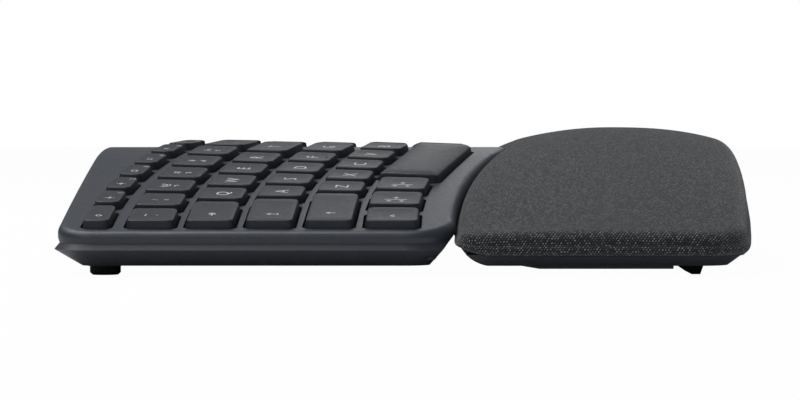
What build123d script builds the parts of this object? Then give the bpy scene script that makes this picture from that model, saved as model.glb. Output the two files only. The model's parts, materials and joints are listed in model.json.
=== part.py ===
from build123d import *
from dataclasses import dataclass
from functools import lru_cache
from math import asin, atan2, cos, degrees, hypot, radians, sin, sqrt
import os

# Ergonomic split keyboard with a wave-shaped deck and a padded palm rest.
# Millimetres. X runs to the user's right, Y away from the user, Z up.
# The origin is the centre of the whole footprint, on the table.

# Overall size
overall_width = 456.0
overall_depth = 233.0
overall_height = 48.0

# Levels above the table
foot_height = 2.8
underside_height = 3.4
floor_thickness = 2.0
case_split_height = 8.7

# Wave of the deck, seen from the front
crest_reach = 154.0
deck_crest_height = 40.4
crest_radius = 232.0
crest_half_angle = 10.0
flank_radius = 2424.0
right_flank_run = 92.0
valley_radius = 160.0

# Case shells
wall = 2.2
deck_thickness = 2.2
rim_round = 2.6
flare_reach = 1.2
flare_height = 2.1
waist_inset = 0.5
waist_height = 1.7
rear_corner_radius = 12.0
front_corner_radius = 16.0
underside_taper_run = 9.0
overrun = 10.0
seam_gap = 0.2

# Crease between deck and palm rest, and the channel under it
crease_setback = 128.7
crease_gap = 0.8
crease_apex_radius = 107.0
skirt_drop = 5.8
channel_apex_height = 13.6
channel_toe_run = 8.2
channel_heel_run = 10.8
channel_heel_bulge = 2.4
seam_toe_run = 9.0
seam_rise_drop = 1.2

# Key fan: rows are arcs round a pivot in front of the keyboard
fan_radius = 470.0
home_row_setback = 69.5
key_pitch = 19.0
row_pitch = 19.1
block_margin = 2.9
right_block_extra = 16.9
key_gap = 2.8
opening_clearance = 0.5
row_offset_shares = (2.9, 2.0, 1.0, 0.0, -1.0, -2.04)
row_depth_shares = (0.64, 1.0, 1.0, 1.0, 1.0, 1.09)
inner_reach_shares = (7.0, 7.2, 6.9, 7.0, 7.25, 7.42)
space_depth_share = 1.3
space_offset_share = -2.09
escape_share = 1.15
small_share = 0.973
tab_share = 1.5
caps_share = 1.75
shift_share = 2.25
control_share = 1.25
backspace_share = 1.975
enter_share = 1.775
right_shift_share = 2.75
right_control_share = 1.15
right_counts = (8, 7, 8, 7, 6, 5)
left_names = (
    ("escape", "f1", "f2", "f3", "f4", "f5", "f6"),
    ("backquote", "1", "2", "3", "4", "5", "6"),
    ("tab", "q", "w", "e", "r", "t"),
    ("caps_lock", "a", "s", "d", "f", "g"),
    ("left_shift", "z", "x", "c", "v", "b"),
    ("left_control", "left_option", "left_alt", "left_space"),
)

# Keycaps
cap_rise = 2.7
cap_skirt = 1.7
cap_lean = 1.0
cap_corner = 2.0
cap_wall = 1.2
cap_side_wall = 1.6
dish_depth = 0.4
space_crown = 1.6
key_travel = 2.0
opening_cut_depth = 4.0
right_inner_run = 50.0
stem_side = 4.6
stem_tip_depth = 5.6
guide_clearance = 0.35

# Layers under the deck, measured square to it
frame_gap = 0.9
frame_thickness = 1.1
stem_end_gap = 0.3
membrane_thickness = 0.5
dome_base = 6.4
dome_top = 3.4
dome_clearance = 0.1
dome_seat_gap = 0.12
stack_inset = 1.0
membrane_inset = 7.4
stack_front_gap = 1.2
spine_width = 8.0
spine_front_setback = 122.0
spine_rear_setback = 66.0
rib_thickness = 1.6
rib_setback_shares = (0.23, 0.47, 0.7)

# Navigation block and number pad
side_pitch = 18.2
side_block_gap = 2.2

# Palm rest
palm_right_reach = 376.0
palm_corner_radius = 16.0
palm_front_rise = 12.5
palm_crown = 7.6
palm_left_shares = (0.0, 0.016, 0.06, 0.145, 0.31, 0.55, 0.77)
palm_right_shares = (0.16, 0.32, 0.48, 0.66, 0.82, 0.93, 0.982, 1.0)
palm_end_drop = 2.4
palm_crown_share = 0.47
palm_shoulder_run = 8.5
palm_shoulder_share = 0.17
palm_front_share = 0.5
palm_tuck = 1.6
palm_rear_tuck = 4.0
palm_seam_height = 7.4
palm_apron = 8.0
pad_seat_gap = 0.25
palm_base_top = 7.2
palm_base_inset = 1.2
palm_taper_run = 5.0
palm_shell_wall = 2.2

# Palm-lift legs and their pods
pod_width = 46.0
pod_length = 49.5
pod_front_inset = 34.5
pod_drop = 1.1
pod_ramp = 6.6
left_pod_reach = 32.0
right_pod_reach = 340.0
leg_thickness = 3.2
leg_axis_height = 3.9
leg_hinge_inset = 5.0
large_leg_width = 36.0
large_leg_length = 32.0
small_leg_width = 24.0
small_leg_length = 20.0
leg_gap = 0.6
leg_roof_gap = 0.35
hinge_pin_radius = 1.1
hinge_pin_length = 42.0
hinge_running_gap = 0.06

# Rubber feet
foot_radius = 5.0
foot_rim_chamfer = 0.8
foot_boss_radius = 7.0
foot_boss_lean = 1.6
foot_side_inset = 21.0
foot_rear_inset = 15.5
foot_front_setback = 107.0
palm_foot_width = 20.0
palm_foot_tip = 2.8
palm_foot_slope = 5.2
palm_foot_gap = 2.0
foot_boss_height = 0.6

# Batteries, their bay and cover
cell_length = 44.5
cell_radius = 5.25
pole_radius = 2.2
pole_length = 1.0
cell_gap = 0.4
bay_reach = 132.0
bay_rear_inset = 33.0
bay_wall = 1.5
bay_height = 12.0
contact_thickness = 0.5
contact_point_height = 2.0
contact_point_base = 3.2
contact_point_tip = 1.6
contact_side = 9.0
fit_gap = 0.1
cell_seat_gap = 0.2
cover_gap = 0.3
cover_grip_width = 14.0
cover_grip_height = 0.8

# Circuit board
board_length = 58.0
board_width = 24.0
board_thickness = 1.2
board_post_height = 5.0
board_post_side = 4.0
board_rear_inset = 64.0
chip_side = 9.0
chip_height = 1.4

# Power switch
switch_reach = 250.0
switch_rear_inset = 22.0
switch_knob_length = 5.0
switch_knob_width = 3.6
switch_travel = 4.0
switch_slot_gap = 0.3
switch_flange = 2.0
switch_flange_thickness = 1.2

# Places worked out from the sizes above
left_x = -overall_width / 2
right_x = overall_width / 2
rear_y = overall_depth / 2
front_y = -overall_depth / 2
crest_x = left_x + crest_reach
deck_left_x = left_x + flare_reach
deck_right_x = right_x - flare_reach
deck_rear_y = rear_y - flare_reach
crease_y = rear_y - crease_setback
fan_x = deck_left_x + block_margin
fan_y = rear_y - home_row_setback - fan_radius
fan_reach = crest_x - fan_x
home_y = rear_y - home_row_setback
front_edge_radius = crease_y - fan_y
floor_top = underside_height + floor_thickness
frame_depth = cap_skirt + key_travel + frame_gap
membrane_depth = stem_tip_depth + key_travel + stem_end_gap
slope_share = sin(radians(crest_half_angle))
crest_half_run = crest_radius * slope_share
crest_drop = crest_radius * (1 - cos(radians(crest_half_angle)))
navigation_x = crest_x + fan_reach + right_block_extra + side_block_gap
number_x = navigation_x + 3 * side_pitch + side_block_gap
palm_half_run = crest_reach
palm_base_bottom = foot_height + foot_boss_height + fit_gap
pod_bottom = palm_base_bottom - pod_drop
pod_xs = (left_x + left_pod_reach, left_x + right_pod_reach)
pod_front_y = front_y + pod_front_inset
leg_axis_y = pod_front_y + leg_hinge_inset
bay_length = cell_length + 2 * (contact_thickness + contact_point_height + 2 * fit_gap)
bay_width = 2 * (2 * cell_radius + cell_gap)
bay_x = left_x + bay_reach + bay_length / 2
bay_y = rear_y - bay_rear_inset - bay_width / 2
cell_step = cell_radius + cell_gap / 2
cell_z = floor_top + cell_seat_gap + cell_radius
board_x = crest_x
board_y = rear_y - board_rear_inset - board_width / 2
post_run_x = (board_length - board_post_side) / 2
post_run_y = (board_width - board_post_side) / 2
switch_x = left_x + switch_reach
switch_y = rear_y - switch_rear_inset
slot_half = switch_knob_width / 2 + switch_slot_gap
foot_places = (
    (left_x + foot_side_inset, rear_y - foot_rear_inset),
    (crest_x, rear_y - foot_rear_inset),
    (right_x - foot_side_inset, rear_y - foot_rear_inset),
    (right_x - foot_side_inset, rear_y - foot_front_setback),
)


# Wave of the deck
def wave_at(x):
    """Height of the deck at x and its slope angle, positive where it rises to the right."""
    run = abs(x - crest_x)
    side = 1 if x < crest_x else -1
    if run <= crest_half_run:
        slope = asin(run / crest_radius)
        return deck_crest_height - crest_radius * (1 - cos(slope)), side * slope
    end_run = crest_half_run + right_flank_run
    flank_run = run - crest_half_run
    if side < 0:
        flank_run = min(flank_run, right_flank_run)
    share = slope_share + flank_run / flank_radius
    cosine = sqrt(1 - share**2)
    height = deck_crest_height - crest_drop
    height -= flank_radius * (cos(radians(crest_half_angle)) - cosine)
    if side > 0 or run <= end_run:
        return height, side * asin(share)
    valley_share = max(share - (run - end_run) / valley_radius, 0.0)
    height -= valley_radius * (sqrt(1 - valley_share**2) - cosine)
    return height, side * asin(valley_share)


def under_deck(x, depth):
    """Point of the XZ plane that lies depth below the deck at x, square to it."""
    height, slope = wave_at(x)
    return x + depth * sin(slope), height - depth * cos(slope)


def arc_or_line(start_x, end_x, depth, y, straight):
    """One stretch of the wave at a depth, in the plane at y."""
    a, b = under_deck(start_x, depth), under_deck(end_x, depth)
    first, last = Vector(a[0], y, a[1]), Vector(b[0], y, b[1])
    if straight:
        return Edge.make_line(first, last)
    middle = under_deck((start_x + end_x) / 2, depth)
    return Edge.make_three_point_arc(first, Vector(middle[0], y, middle[1]), last)


def below_wave(depth, low_y=front_y - overrun, high_y=rear_y + overrun, bottom=-overrun):
    """Solid of everything under the wave surface that lies depth below the deck."""
    valley_start = crest_x + crest_half_run + right_flank_run
    valley_run = valley_radius * sin(-wave_at(valley_start)[1])
    stops = [
        left_x - overrun,
        crest_x - crest_half_run,
        crest_x + crest_half_run,
        valley_start,
        valley_start + valley_run,
        right_x + overrun,
    ]
    edges = [
        arc_or_line(a, b, depth, low_y, b == stops[-1]) for a, b in zip(stops, stops[1:])
    ]
    start, end = edges[0] @ 0, edges[-1] @ 1
    low_start, low_end = Vector(start.X, low_y, bottom), Vector(end.X, low_y, bottom)
    edges += [
        Edge.make_line(end, low_end),
        Edge.make_line(low_end, low_start),
        Edge.make_line(low_start, start),
    ]
    return extrude(Face(Wire(edges)), amount=high_y - low_y, dir=(0, 1, 0))


# Plan outlines
def box_between(low, high):
    """Box from its lowest to its highest corner."""
    size = [h - l for l, h in zip(low, high)]
    middle = [(l + h) / 2 for l, h in zip(low, high)]
    return Pos(*middle) * Box(*size)


def corner_arc(centre_x, centre_y, radius, start, end):
    """Quarter-like arc in plan between two compass angles in degrees."""
    points = [
        Vector(centre_x + radius * cos(radians(a)), centre_y + radius * sin(radians(a)))
        for a in (start, (start + end) / 2, end)
    ]
    return Edge.make_three_point_arc(*points)


def front_edge(gap, left_end, right_end):
    """Edges of the deck's front edge, left to right, moved towards the user by gap."""
    start_angle = asin((left_end - fan_x) / (front_edge_radius - gap))
    radius = front_edge_radius - gap
    apex_radius = crease_apex_radius + gap
    apex_y = fan_y + sqrt((radius + apex_radius) ** 2 - fan_reach**2)
    lean = asin(fan_reach / (radius + apex_radius))
    touch_run = radius * sin(lean)
    touch_y = fan_y + radius * cos(lean)
    half_run = radius * sin(lean / 2)
    half_y = fan_y + radius * cos(lean / 2)
    right_fan_x = crest_x + fan_reach
    top_y = fan_y + radius
    mid_angle = (start_angle + lean) / 2
    start = Vector(left_end, fan_y + radius * cos(start_angle))
    start_middle = Vector(fan_x + radius * sin(mid_angle), fan_y + radius * cos(mid_angle))
    touch_left = Vector(fan_x + touch_run, touch_y)
    touch_right = Vector(right_fan_x - touch_run, touch_y)
    return [
        Edge.make_three_point_arc(start, start_middle, touch_left),
        Edge.make_three_point_arc(touch_left, Vector(crest_x, apex_y - apex_radius), touch_right),
        Edge.make_three_point_arc(
            touch_right, Vector(right_fan_x - half_run, half_y), Vector(right_fan_x, top_y)
        ),
        Edge.make_line(Vector(right_fan_x, top_y), Vector(right_end, top_y)),
    ]


def case_outline(growth, wavy=True):
    """Plan face of the case, grown outwards by growth, with the fanned or a straight front."""
    low_x, high_x = deck_left_x - growth, deck_right_x + growth
    low_y, high_y = crease_y - growth, deck_rear_y + growth
    rear_r, front_r = rear_corner_radius + growth, front_corner_radius + growth
    corner_x = deck_left_x + front_corner_radius
    corner_y = crease_y + front_corner_radius
    if wavy:
        reach = front_edge_radius + front_corner_radius
        corner_y = fan_y + sqrt(reach**2 - (corner_x - fan_x) ** 2)
        lean = asin((corner_x - fan_x) / reach)
        touch_x = fan_x + (front_edge_radius - growth) * sin(lean)
        edges = [corner_arc(corner_x, corner_y, front_r, 180, 270 - degrees(lean))]
        edges += front_edge(growth, touch_x, high_x - front_r)
    else:
        edges = [corner_arc(corner_x, corner_y, front_r, 180, 270)]
        edges += [Edge.make_line(Vector(corner_x, low_y), Vector(high_x - front_r, low_y))]
    edges += [
        corner_arc(high_x - front_r, low_y + front_r, front_r, -90, 0),
        Edge.make_line(Vector(high_x, low_y + front_r), Vector(high_x, high_y - rear_r)),
        corner_arc(high_x - rear_r, high_y - rear_r, rear_r, 0, 90),
        Edge.make_line(Vector(high_x - rear_r, high_y), Vector(low_x + rear_r, high_y)),
        corner_arc(low_x + rear_r, high_y - rear_r, rear_r, 90, 180),
        Edge.make_line(Vector(low_x, high_y - rear_r), Vector(low_x, corner_y)),
    ]
    return Face(Wire(edges))


def prism(sheet, low, high):
    """Straight solid over a plan face from one height to another."""
    return extrude(Pos(0, 0, low) * sheet, amount=high - low)


def yz_sheet(points):
    """Face in the YZ plane through points."""
    return Face(Wire.make_polygon([Vector(0, y, z) for y, z in points]))


def along_x(sheet, low_x=left_x - overrun, high_x=right_x + overrun):
    """Solid of a YZ face carried along X."""
    return extrude(Pos(low_x, 0, 0) * sheet, amount=high_x - low_x, dir=(1, 0, 0))


def channel(growth=0.0):
    """The channel under the crease, open to the table, grown into its walls by growth."""
    rise = channel_apex_height - underside_height
    toe_grow = growth * hypot(channel_toe_run, rise) / rise
    heel_grow = growth * hypot(channel_heel_run, rise) / rise
    lift = rise * (toe_grow + heel_grow) / (channel_toe_run + channel_heel_run)
    toe_y = crease_y + channel_toe_run + toe_grow
    heel_y = crease_y - channel_heel_run - heel_grow
    apex_y = toe_y - channel_toe_run * (rise + lift) / rise
    toe, heel = Vector(0, toe_y, underside_height), Vector(0, heel_y, underside_height)
    apex = Vector(0, apex_y, channel_apex_height + lift)
    across = (apex - heel).normalized()
    middle = (apex + heel) * 0.5 + Vector(0, across.Z, -across.Y) * channel_heel_bulge
    low_toe, low_heel = Vector(0, toe_y, -overrun), Vector(0, heel_y, -overrun)
    edges = [
        Edge.make_line(low_toe, toe),
        Edge.make_line(toe, apex),
        Edge.make_three_point_arc(apex, middle, heel),
        Edge.make_line(heel, low_heel),
        Edge.make_line(low_heel, low_toe),
    ]
    return along_x(Face(Wire(edges)))


# Keys
@dataclass
class Key:
    """One key: its name, its place in plan, its heading, the size of its cap and its kind."""

    name: str
    x: float
    y: float
    heading: float
    width: float
    depth: float
    crowned: bool = False


def row_run(reach, radius):
    """Distance along a row for a reach given at the fan's own radius."""
    return max(reach, 0) * radius / fan_radius + min(reach, 0)


def fan_key(name, side, outer, inner, row):
    """Key of a fanned block between two reaches from the block's outer end."""
    spaced = name.endswith("space")
    offset_share = space_offset_share if spaced else row_offset_shares[row]
    depth_share = space_depth_share if spaced else row_depth_shares[row]
    radius = fan_radius + offset_share * row_pitch
    start, end = row_run(outer, radius), row_run(inner, radius)
    middle = (start + end) / 2
    angle = max(middle, 0) / radius
    inward = radius * sin(angle) + min(middle, 0)
    x = crest_x + side * (fan_reach - inward)
    y = fan_y + radius * cos(angle)
    width, depth = end - start - key_gap, depth_share * row_pitch - key_gap
    return Key(name, x, y, side * degrees(angle), width, depth, spaced)


def fan_row(side, row, names, shares):
    """Keys of one fanned row from its outer end; the last one fills up to the inner reach."""
    reach = 0.0 if side < 0 else -right_block_extra
    inner_end = inner_reach_shares[row] * key_pitch
    widths = [share * key_pitch for share in shares]
    rest = (inner_end - reach - sum(widths)) / (len(names) - len(widths))
    widths += [rest] * (len(names) - len(widths))
    keys = []
    for name, width in zip(names, widths):
        keys.append(fan_key(name, side, reach, reach + width, row))
        reach += width
    return keys


def side_key(name, start_x, column, columns, first_row, last_row):
    """Key of a straight block, over whole columns and from its rear row to its front row."""
    rear = home_y + (row_offset_shares[first_row] + row_depth_shares[first_row] / 2) * row_pitch
    front = home_y + (row_offset_shares[last_row] - row_depth_shares[last_row] / 2) * row_pitch
    x = start_x + (column + columns / 2) * side_pitch
    width, depth = columns * side_pitch - key_gap, rear - front - key_gap
    return Key(name, x, (rear + front) / 2, 0.0, width, depth)


def key_plane(key):
    """Plane of a key on the deck; its z axis points square out of the wave."""
    turn = radians(key.heading)
    half = key.width / 2 * cos(turn)
    low, high = wave_at(key.x - half)[0], wave_at(key.x + half)[0]
    tilt = atan2(high - low, 2 * half)
    level = ((low + high) / 2 + wave_at(key.x)[0]) / 2
    across = (cos(turn) * cos(tilt), sin(turn), cos(turn) * sin(tilt))
    return Plane(origin=(key.x, key.y, level), x_dir=across, z_dir=(-sin(tilt), 0, cos(tilt)))


def left_block():
    """Keys of the left block, row by row from the rear."""
    return (
        fan_row(-1, 0, left_names[0], (escape_share,) + (small_share,) * 5)
        + fan_row(-1, 1, left_names[1], (1.0,) * 6)
        + fan_row(-1, 2, left_names[2], (tab_share,) + (1.0,) * 4)
        + fan_row(-1, 3, left_names[3], (caps_share,) + (1.0,) * 4)
        + fan_row(-1, 4, left_names[4], (shift_share,) + (1.0,) * 4)
        + fan_row(-1, 5, left_names[5], (control_share,) * 3)
    )


def right_block():
    """Keys of the right block, row by row from the rear and from the outer end."""
    names = [[f"right_{row}_{i}" for i in range(count)] for row, count in enumerate(right_counts)]
    names[-1][-1] = "right_space"
    return (
        fan_row(1, 0, names[0], ())
        + fan_row(1, 1, names[1], (backspace_share,) + (small_share,) * 5)
        + fan_row(1, 2, names[2], ())
        + fan_row(1, 3, names[3], (enter_share,) + (small_share,) * 5)
        + fan_row(1, 4, names[4], (right_shift_share,) + (small_share,) * 4)
        + fan_row(1, 5, names[5], (right_control_share,) * 4)
    )


def navigation_block():
    """Keys between the right block and the number pad: edit keys and arrows."""
    keys = [side_key(f"nav_{r}_{c}", navigation_x, c, 1, r, r) for r in range(3) for c in range(3)]
    keys.append(side_key("nav_up", navigation_x, 1, 1, 4, 4))
    keys += [side_key(f"nav_low_{c}", navigation_x, c, 1, 5, 5) for c in range(3)]
    return keys


def number_block():
    """Keys of the number pad, with its tall plus and enter keys and its wide zero."""
    keys = [side_key(f"pad_{r}_{c}", number_x, c, 1, r, r) for r in range(2) for c in range(4)]
    keys += [side_key(f"pad_{r}_{c}", number_x, c, 1, r, r) for r in range(2, 5) for c in range(3)]
    keys.append(side_key("pad_plus", number_x, 3, 1, 2, 3))
    keys.append(side_key("pad_enter", number_x, 3, 1, 4, 5))
    keys.append(side_key("pad_zero", number_x, 0, 2, 5, 5))
    keys.append(side_key("pad_point", number_x, 2, 1, 5, 5))
    return keys


def octagon(width, depth, corner):
    """Plan face with its four corners cut off."""
    x, y = width / 2, depth / 2
    corners = [(x - corner, -y), (x, corner - y), (x, y - corner), (x - corner, y)]
    corners += [(-a, -b) for a, b in corners]
    return Face(Wire.make_polygon([Vector(a, b) for a, b in corners]))


@lru_cache(maxsize=None)
def cap_solid(width, depth, crowned):
    """Keycap with leaning sides, dished or crowned top, hollow skirt and stem, about its seat."""
    height = cap_skirt + cap_rise
    lower = Pos(0, 0, -cap_skirt) * octagon(width, depth, cap_corner)
    cap = extrude(lower, amount=height, taper=degrees(atan2(cap_lean, height)))
    if crowned:
        half = depth / 2
        radius = (half**2 + space_crown**2) / (2 * space_crown)
        cap &= Pos(0, 0, cap_rise - radius) * Rot(0, 90, 0) * Cylinder(radius, 2 * width)
        roof = cap_rise - space_crown - cap_wall
    else:
        half = width / 2 - cap_lean
        radius = (half**2 + dish_depth**2) / (2 * dish_depth)
        cap -= Pos(0, 0, cap_rise - dish_depth + radius) * Rot(90, 0, 0) * Cylinder(radius, 2 * depth)
        roof = cap_rise - dish_depth - cap_wall
    mouth = Rectangle(width - 2 * cap_side_wall, depth - 2 * cap_side_wall).face()
    room_height = cap_skirt + roof
    room_lean = degrees(atan2(cap_lean, room_height))
    pocket = extrude(Pos(0, 0, -cap_skirt) * mouth, amount=room_height, taper=room_lean)
    stem_length = stem_tip_depth + roof
    stem = Pos(0, 0, stem_length / 2 - stem_tip_depth) * Box(stem_side, stem_side, stem_length)
    return (cap - pocket + stem).solid()


def placed_cap(key):
    """Keycap of a key in its place on the deck."""
    return key_plane(key).location * cap_solid(round(key.width, 2), round(key.depth, 2), key.crowned)


def key_prism(key, width, depth, corner, low, high):
    """Straight cutter square to the deck at a key, between two local heights."""
    sheet = octagon(width, depth, corner) if corner else Rectangle(width, depth).face()
    return key_plane(key).location * extrude(Pos(0, 0, low) * sheet, amount=high - low)


def deck_openings(keys):
    """Cutters for the keycaps' openings in the deck."""
    grow = 2 * opening_clearance
    return [
        key_prism(k, k.width + grow, k.depth + grow, cap_corner, -opening_cut_depth, cap_rise)
        for k in keys
    ]


def guide_holes(keys):
    """Cutters for the stems' holes in the key frame."""
    side = stem_side + 2 * guide_clearance
    return [key_prism(k, side, side, 0, -membrane_depth, -frame_depth + cap_skirt) for k in keys]


# Case shells
def upper_body():
    """Outer form of the case above the split, with a flared foot under a drawn-in waist."""
    flare_angle = degrees(atan2(flare_reach + waist_inset, flare_height))
    waist_angle = degrees(atan2(waist_inset, waist_height))
    waist_z = case_split_height + flare_height
    foot = Pos(0, 0, case_split_height) * case_outline(flare_reach)
    flare = extrude(foot, amount=flare_height, taper=flare_angle)
    waist = Pos(0, 0, waist_z) * case_outline(-waist_inset)
    waist = extrude(waist, amount=waist_height, taper=-waist_angle)
    shaft = prism(case_outline(0), waist_z + waist_height, overall_height)
    room = box_between((left_x, crease_y - waist_inset, 0), (right_x, rear_y, overall_height))
    return shaft + ((waist + flare) & room)


def rim_edges(body):
    """Edges between the wavy top of a body and its walls."""
    top = [face for face in body.faces() if face.normal_at(face.center()).Z > cos(radians(45))]
    edges = [edge for face in top for edge in face.edges()]
    centres = [tuple(round(v, 3) for v in edge.center()) for edge in edges]
    return [edge for edge, centre in zip(edges, centres) if centres.count(centre) == 1]


def seam_wedge():
    """Part of the front that belongs to the bottom case: its seam climbs towards the crease."""
    toe_y, seam_top = crease_y + seam_toe_run, channel_apex_height - seam_rise_drop
    corners = [(toe_y, case_split_height), (crease_y, seam_top), (crease_y, 0), (toe_y, 0)]
    return along_x(yz_sheet(corners))


def front_zone(depth):
    """Room in front of the seam line and below a depth, which the palm rest fills."""
    return below_wave(depth, high_y=crease_y)


def make_top_case(keys):
    """Deck and side walls in one shell, with one opening for each key."""
    outer = upper_body() & below_wave(0)
    outer = outer.fillet(rim_round, rim_edges(outer))
    hollow = prism(case_outline(-wall), 0, overall_height) & below_wave(deck_thickness)
    shell = outer - hollow - seam_wedge() - front_zone(skirt_drop) - channel()
    return shell.cut(*deck_openings(keys))


def case_room():
    """Inside of the bottom case, down to the floor, behind the channel's wall."""
    fall = case_split_height - floor_top
    lean = degrees(atan2(underside_taper_run, case_split_height - underside_height))
    rim = Pos(0, 0, case_split_height) * case_outline(-wall, False)
    low_room = extrude(rim, amount=fall, dir=(0, 0, -1), taper=lean)
    room = low_room + prism(case_outline(-wall, False), case_split_height, overall_height)
    return room - channel(wall)


def floor_box(centre, size, low, high):
    """Box by its centre and size in plan and its two levels."""
    (x, y), (width, depth) = centre, size
    low_corner = (x - width / 2, y - depth / 2, low)
    return box_between(low_corner, (x + width / 2, y + depth / 2, high))


def switch_slot():
    """Slot in the floor for the switch knob."""
    low_x = switch_x - switch_knob_length / 2 - switch_slot_gap
    high_x = switch_x + switch_knob_length / 2 + switch_travel + switch_slot_gap
    low = (low_x, switch_y - slot_half, 0)
    return box_between(low, (high_x, switch_y + slot_half, floor_top + seam_gap))


def case_ribs(room):
    """Ribs across the floor, up to the membrane sheet."""
    roof = below_wave(membrane_depth + membrane_thickness + fit_gap)
    half = rib_thickness / 2
    ribs = []
    for share in rib_setback_shares:
        y = rear_y - share * crease_setback
        rib = box_between((left_x, y - half, 0), (right_x, y + half, overall_height))
        ribs.append(rib & room & roof)
    return ribs


def bay_walls():
    """Block that the battery bay is cut from."""
    size = (bay_length + 2 * bay_wall, bay_width + 2 * bay_wall)
    return floor_box((bay_x, bay_y), size, underside_height, floor_top + bay_height)


def board_posts():
    """Four posts under the corners of the circuit board."""
    side = (board_post_side, board_post_side)
    corners = [(a, b) for a in (-post_run_x, post_run_x) for b in (-post_run_y, post_run_y)]
    top = floor_top + board_post_height
    return [floor_box((board_x + a, board_y + b), side, underside_height, top) for a, b in corners]


def foot_bosses():
    """Conical bosses that carry the round feet."""
    tip_radius = foot_boss_radius - foot_boss_lean
    boss = Cone(tip_radius, foot_boss_radius, foot_boss_height)
    middle = underside_height - foot_boss_height / 2
    return [Pos(x, y, middle) * boss for x, y in foot_places]


def make_bottom_case():
    """Tray with tapered underside, a wall along the channel, ribs, bay walls and bosses."""
    fall = case_split_height - underside_height
    lean = degrees(atan2(underside_taper_run, fall))
    rim = Pos(0, 0, case_split_height) * case_outline(flare_reach, False)
    low_body = extrude(rim, amount=fall, dir=(0, 0, -1), taper=lean)
    wedge = upper_body() & seam_wedge()
    room = case_room()
    tray = low_body + wedge - room
    inner = prism(case_outline(-wall - seam_gap, False), floor_top, overall_height)
    lip = inner & channel(wall) & below_wave(deck_thickness + seam_gap, low_y=crease_y)
    tray = tray + lip
    bay_inner = floor_box((bay_x, bay_y), (bay_length, bay_width), 0, overall_height)
    tray = tray + case_ribs(room) + [bay_walls()] + board_posts() + foot_bosses()
    return tray - channel() - bay_inner - switch_slot()


# Layers under the deck
def make_key_frame(keys):
    """Plate with a guide hole for each stem, and a spine up to the deck at the crest."""
    layer = below_wave(frame_depth) - below_wave(frame_depth + frame_thickness)
    plan = prism(case_outline(-wall - stack_inset), 0, overall_height)
    plan &= box_between(
        (left_x, crease_y + stack_front_gap, 0), (right_x, rear_y, overall_height)
    )
    plate = layer & plan - channel(wall + stack_inset)
    plate = plate.cut(*guide_holes(keys))
    spine = box_between(
        (crest_x - spine_width / 2, rear_y - spine_front_setback, 0),
        (crest_x + spine_width / 2, rear_y - spine_rear_setback, overall_height),
    )
    spine &= below_wave(deck_thickness + fit_gap) - below_wave(frame_depth)
    return plate + spine


def make_membrane():
    """Thin sheet that carries the contacts under the domes."""
    layer = below_wave(membrane_depth) - below_wave(membrane_depth + membrane_thickness)
    plan = prism(case_outline(-membrane_inset, False), 0, overall_height)
    return layer & plan - channel(wall + stack_inset)


def dome(key):
    """Rubber dome under one stem, standing on the membrane sheet."""
    plane = key_plane(key)
    lift = (plane.origin.Z - wave_at(key.x)[0]) * plane.z_dir.Z
    low, high = -membrane_depth - lift + dome_seat_gap, -stem_tip_depth - dome_clearance
    lean = degrees(atan2((dome_base - dome_top) / 2, high - low))
    base = Pos(0, 0, low) * Rectangle(dome_base, dome_base).face()
    return plane.location * extrude(base, amount=high - low, taper=lean)


# Palm rest
def palm_front_y(x, inset=0.0):
    """Front edge of the palm rest at x, drawn in by inset; its corners are round."""
    sweep = (palm_half_run**2 + palm_front_rise**2) / (2 * palm_front_rise)
    sweep_y = front_y + sweep
    end_x, radius = left_x + palm_right_reach, palm_corner_radius - inset
    for corner_x, outside in ((left_x + palm_corner_radius, -1), (end_x - palm_corner_radius, 1)):
        corner_y = sweep_y - sqrt((sweep - palm_corner_radius) ** 2 - (corner_x - crest_x) ** 2)
        share = (corner_x - crest_x) / (sweep - palm_corner_radius)
        touch_x = crest_x + (sweep - inset) * share
        if (x - touch_x) * outside > 0:
            return corner_y - sqrt(max(radius**2 - (x - corner_x) ** 2, 0))
    return sweep_y - sqrt((sweep - inset) ** 2 - (x - crest_x) ** 2)


def palm_outline(inset):
    """Plan face of the palm rest, drawn in by inset, with a straight rear edge."""
    sweep = (palm_half_run**2 + palm_front_rise**2) / (2 * palm_front_rise)
    sweep_y, end_x = front_y + sweep, left_x + palm_right_reach
    radius, rear = palm_corner_radius - inset, crease_y - seam_gap
    left_cx, right_cx = left_x + palm_corner_radius, end_x - palm_corner_radius
    centres, turns = [], []
    for x in (left_cx, right_cx):
        y = sweep_y - sqrt((sweep - palm_corner_radius) ** 2 - (x - crest_x) ** 2)
        centres.append((x, y))
        turns.append(degrees(asin((x - crest_x) / (sweep - palm_corner_radius))))
    left_arc = corner_arc(*centres[0], radius, 180, 270 + turns[0])
    right_arc = corner_arc(*centres[1], radius, -90 + turns[1], 0)
    front_arc = Edge.make_three_point_arc(
        left_arc @ 1, Vector(crest_x, front_y + inset), right_arc @ 0
    )
    edges = [
        left_arc,
        front_arc,
        right_arc,
        Edge.make_line(right_arc @ 1, Vector(end_x - inset, rear)),
        Edge.make_line(Vector(end_x - inset, rear), Vector(left_x + inset, rear)),
        Edge.make_line(Vector(left_x + inset, rear), left_arc @ 0),
    ]
    return Face(Wire(edges))


def support_form(growth):
    """Outer form of the palm rest support, grown by growth for the pad's seat."""
    plan = prism(palm_outline(palm_apron - growth), palm_base_top - growth, overall_height)
    return plan & below_wave(skirt_drop + seam_gap - growth)


def make_palm_support():
    """Shell under the pad that follows the wave and closes the case's front."""
    room = prism(palm_outline(palm_apron + palm_shell_wall), 0, overall_height)
    room &= below_wave(skirt_drop + seam_gap + palm_shell_wall)
    rear = crease_y - seam_gap - palm_shell_wall
    room &= box_between((left_x, front_y, 0), (right_x, rear, overall_height))
    return support_form(0) - (room - channel(palm_shell_wall)) - channel()


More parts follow.
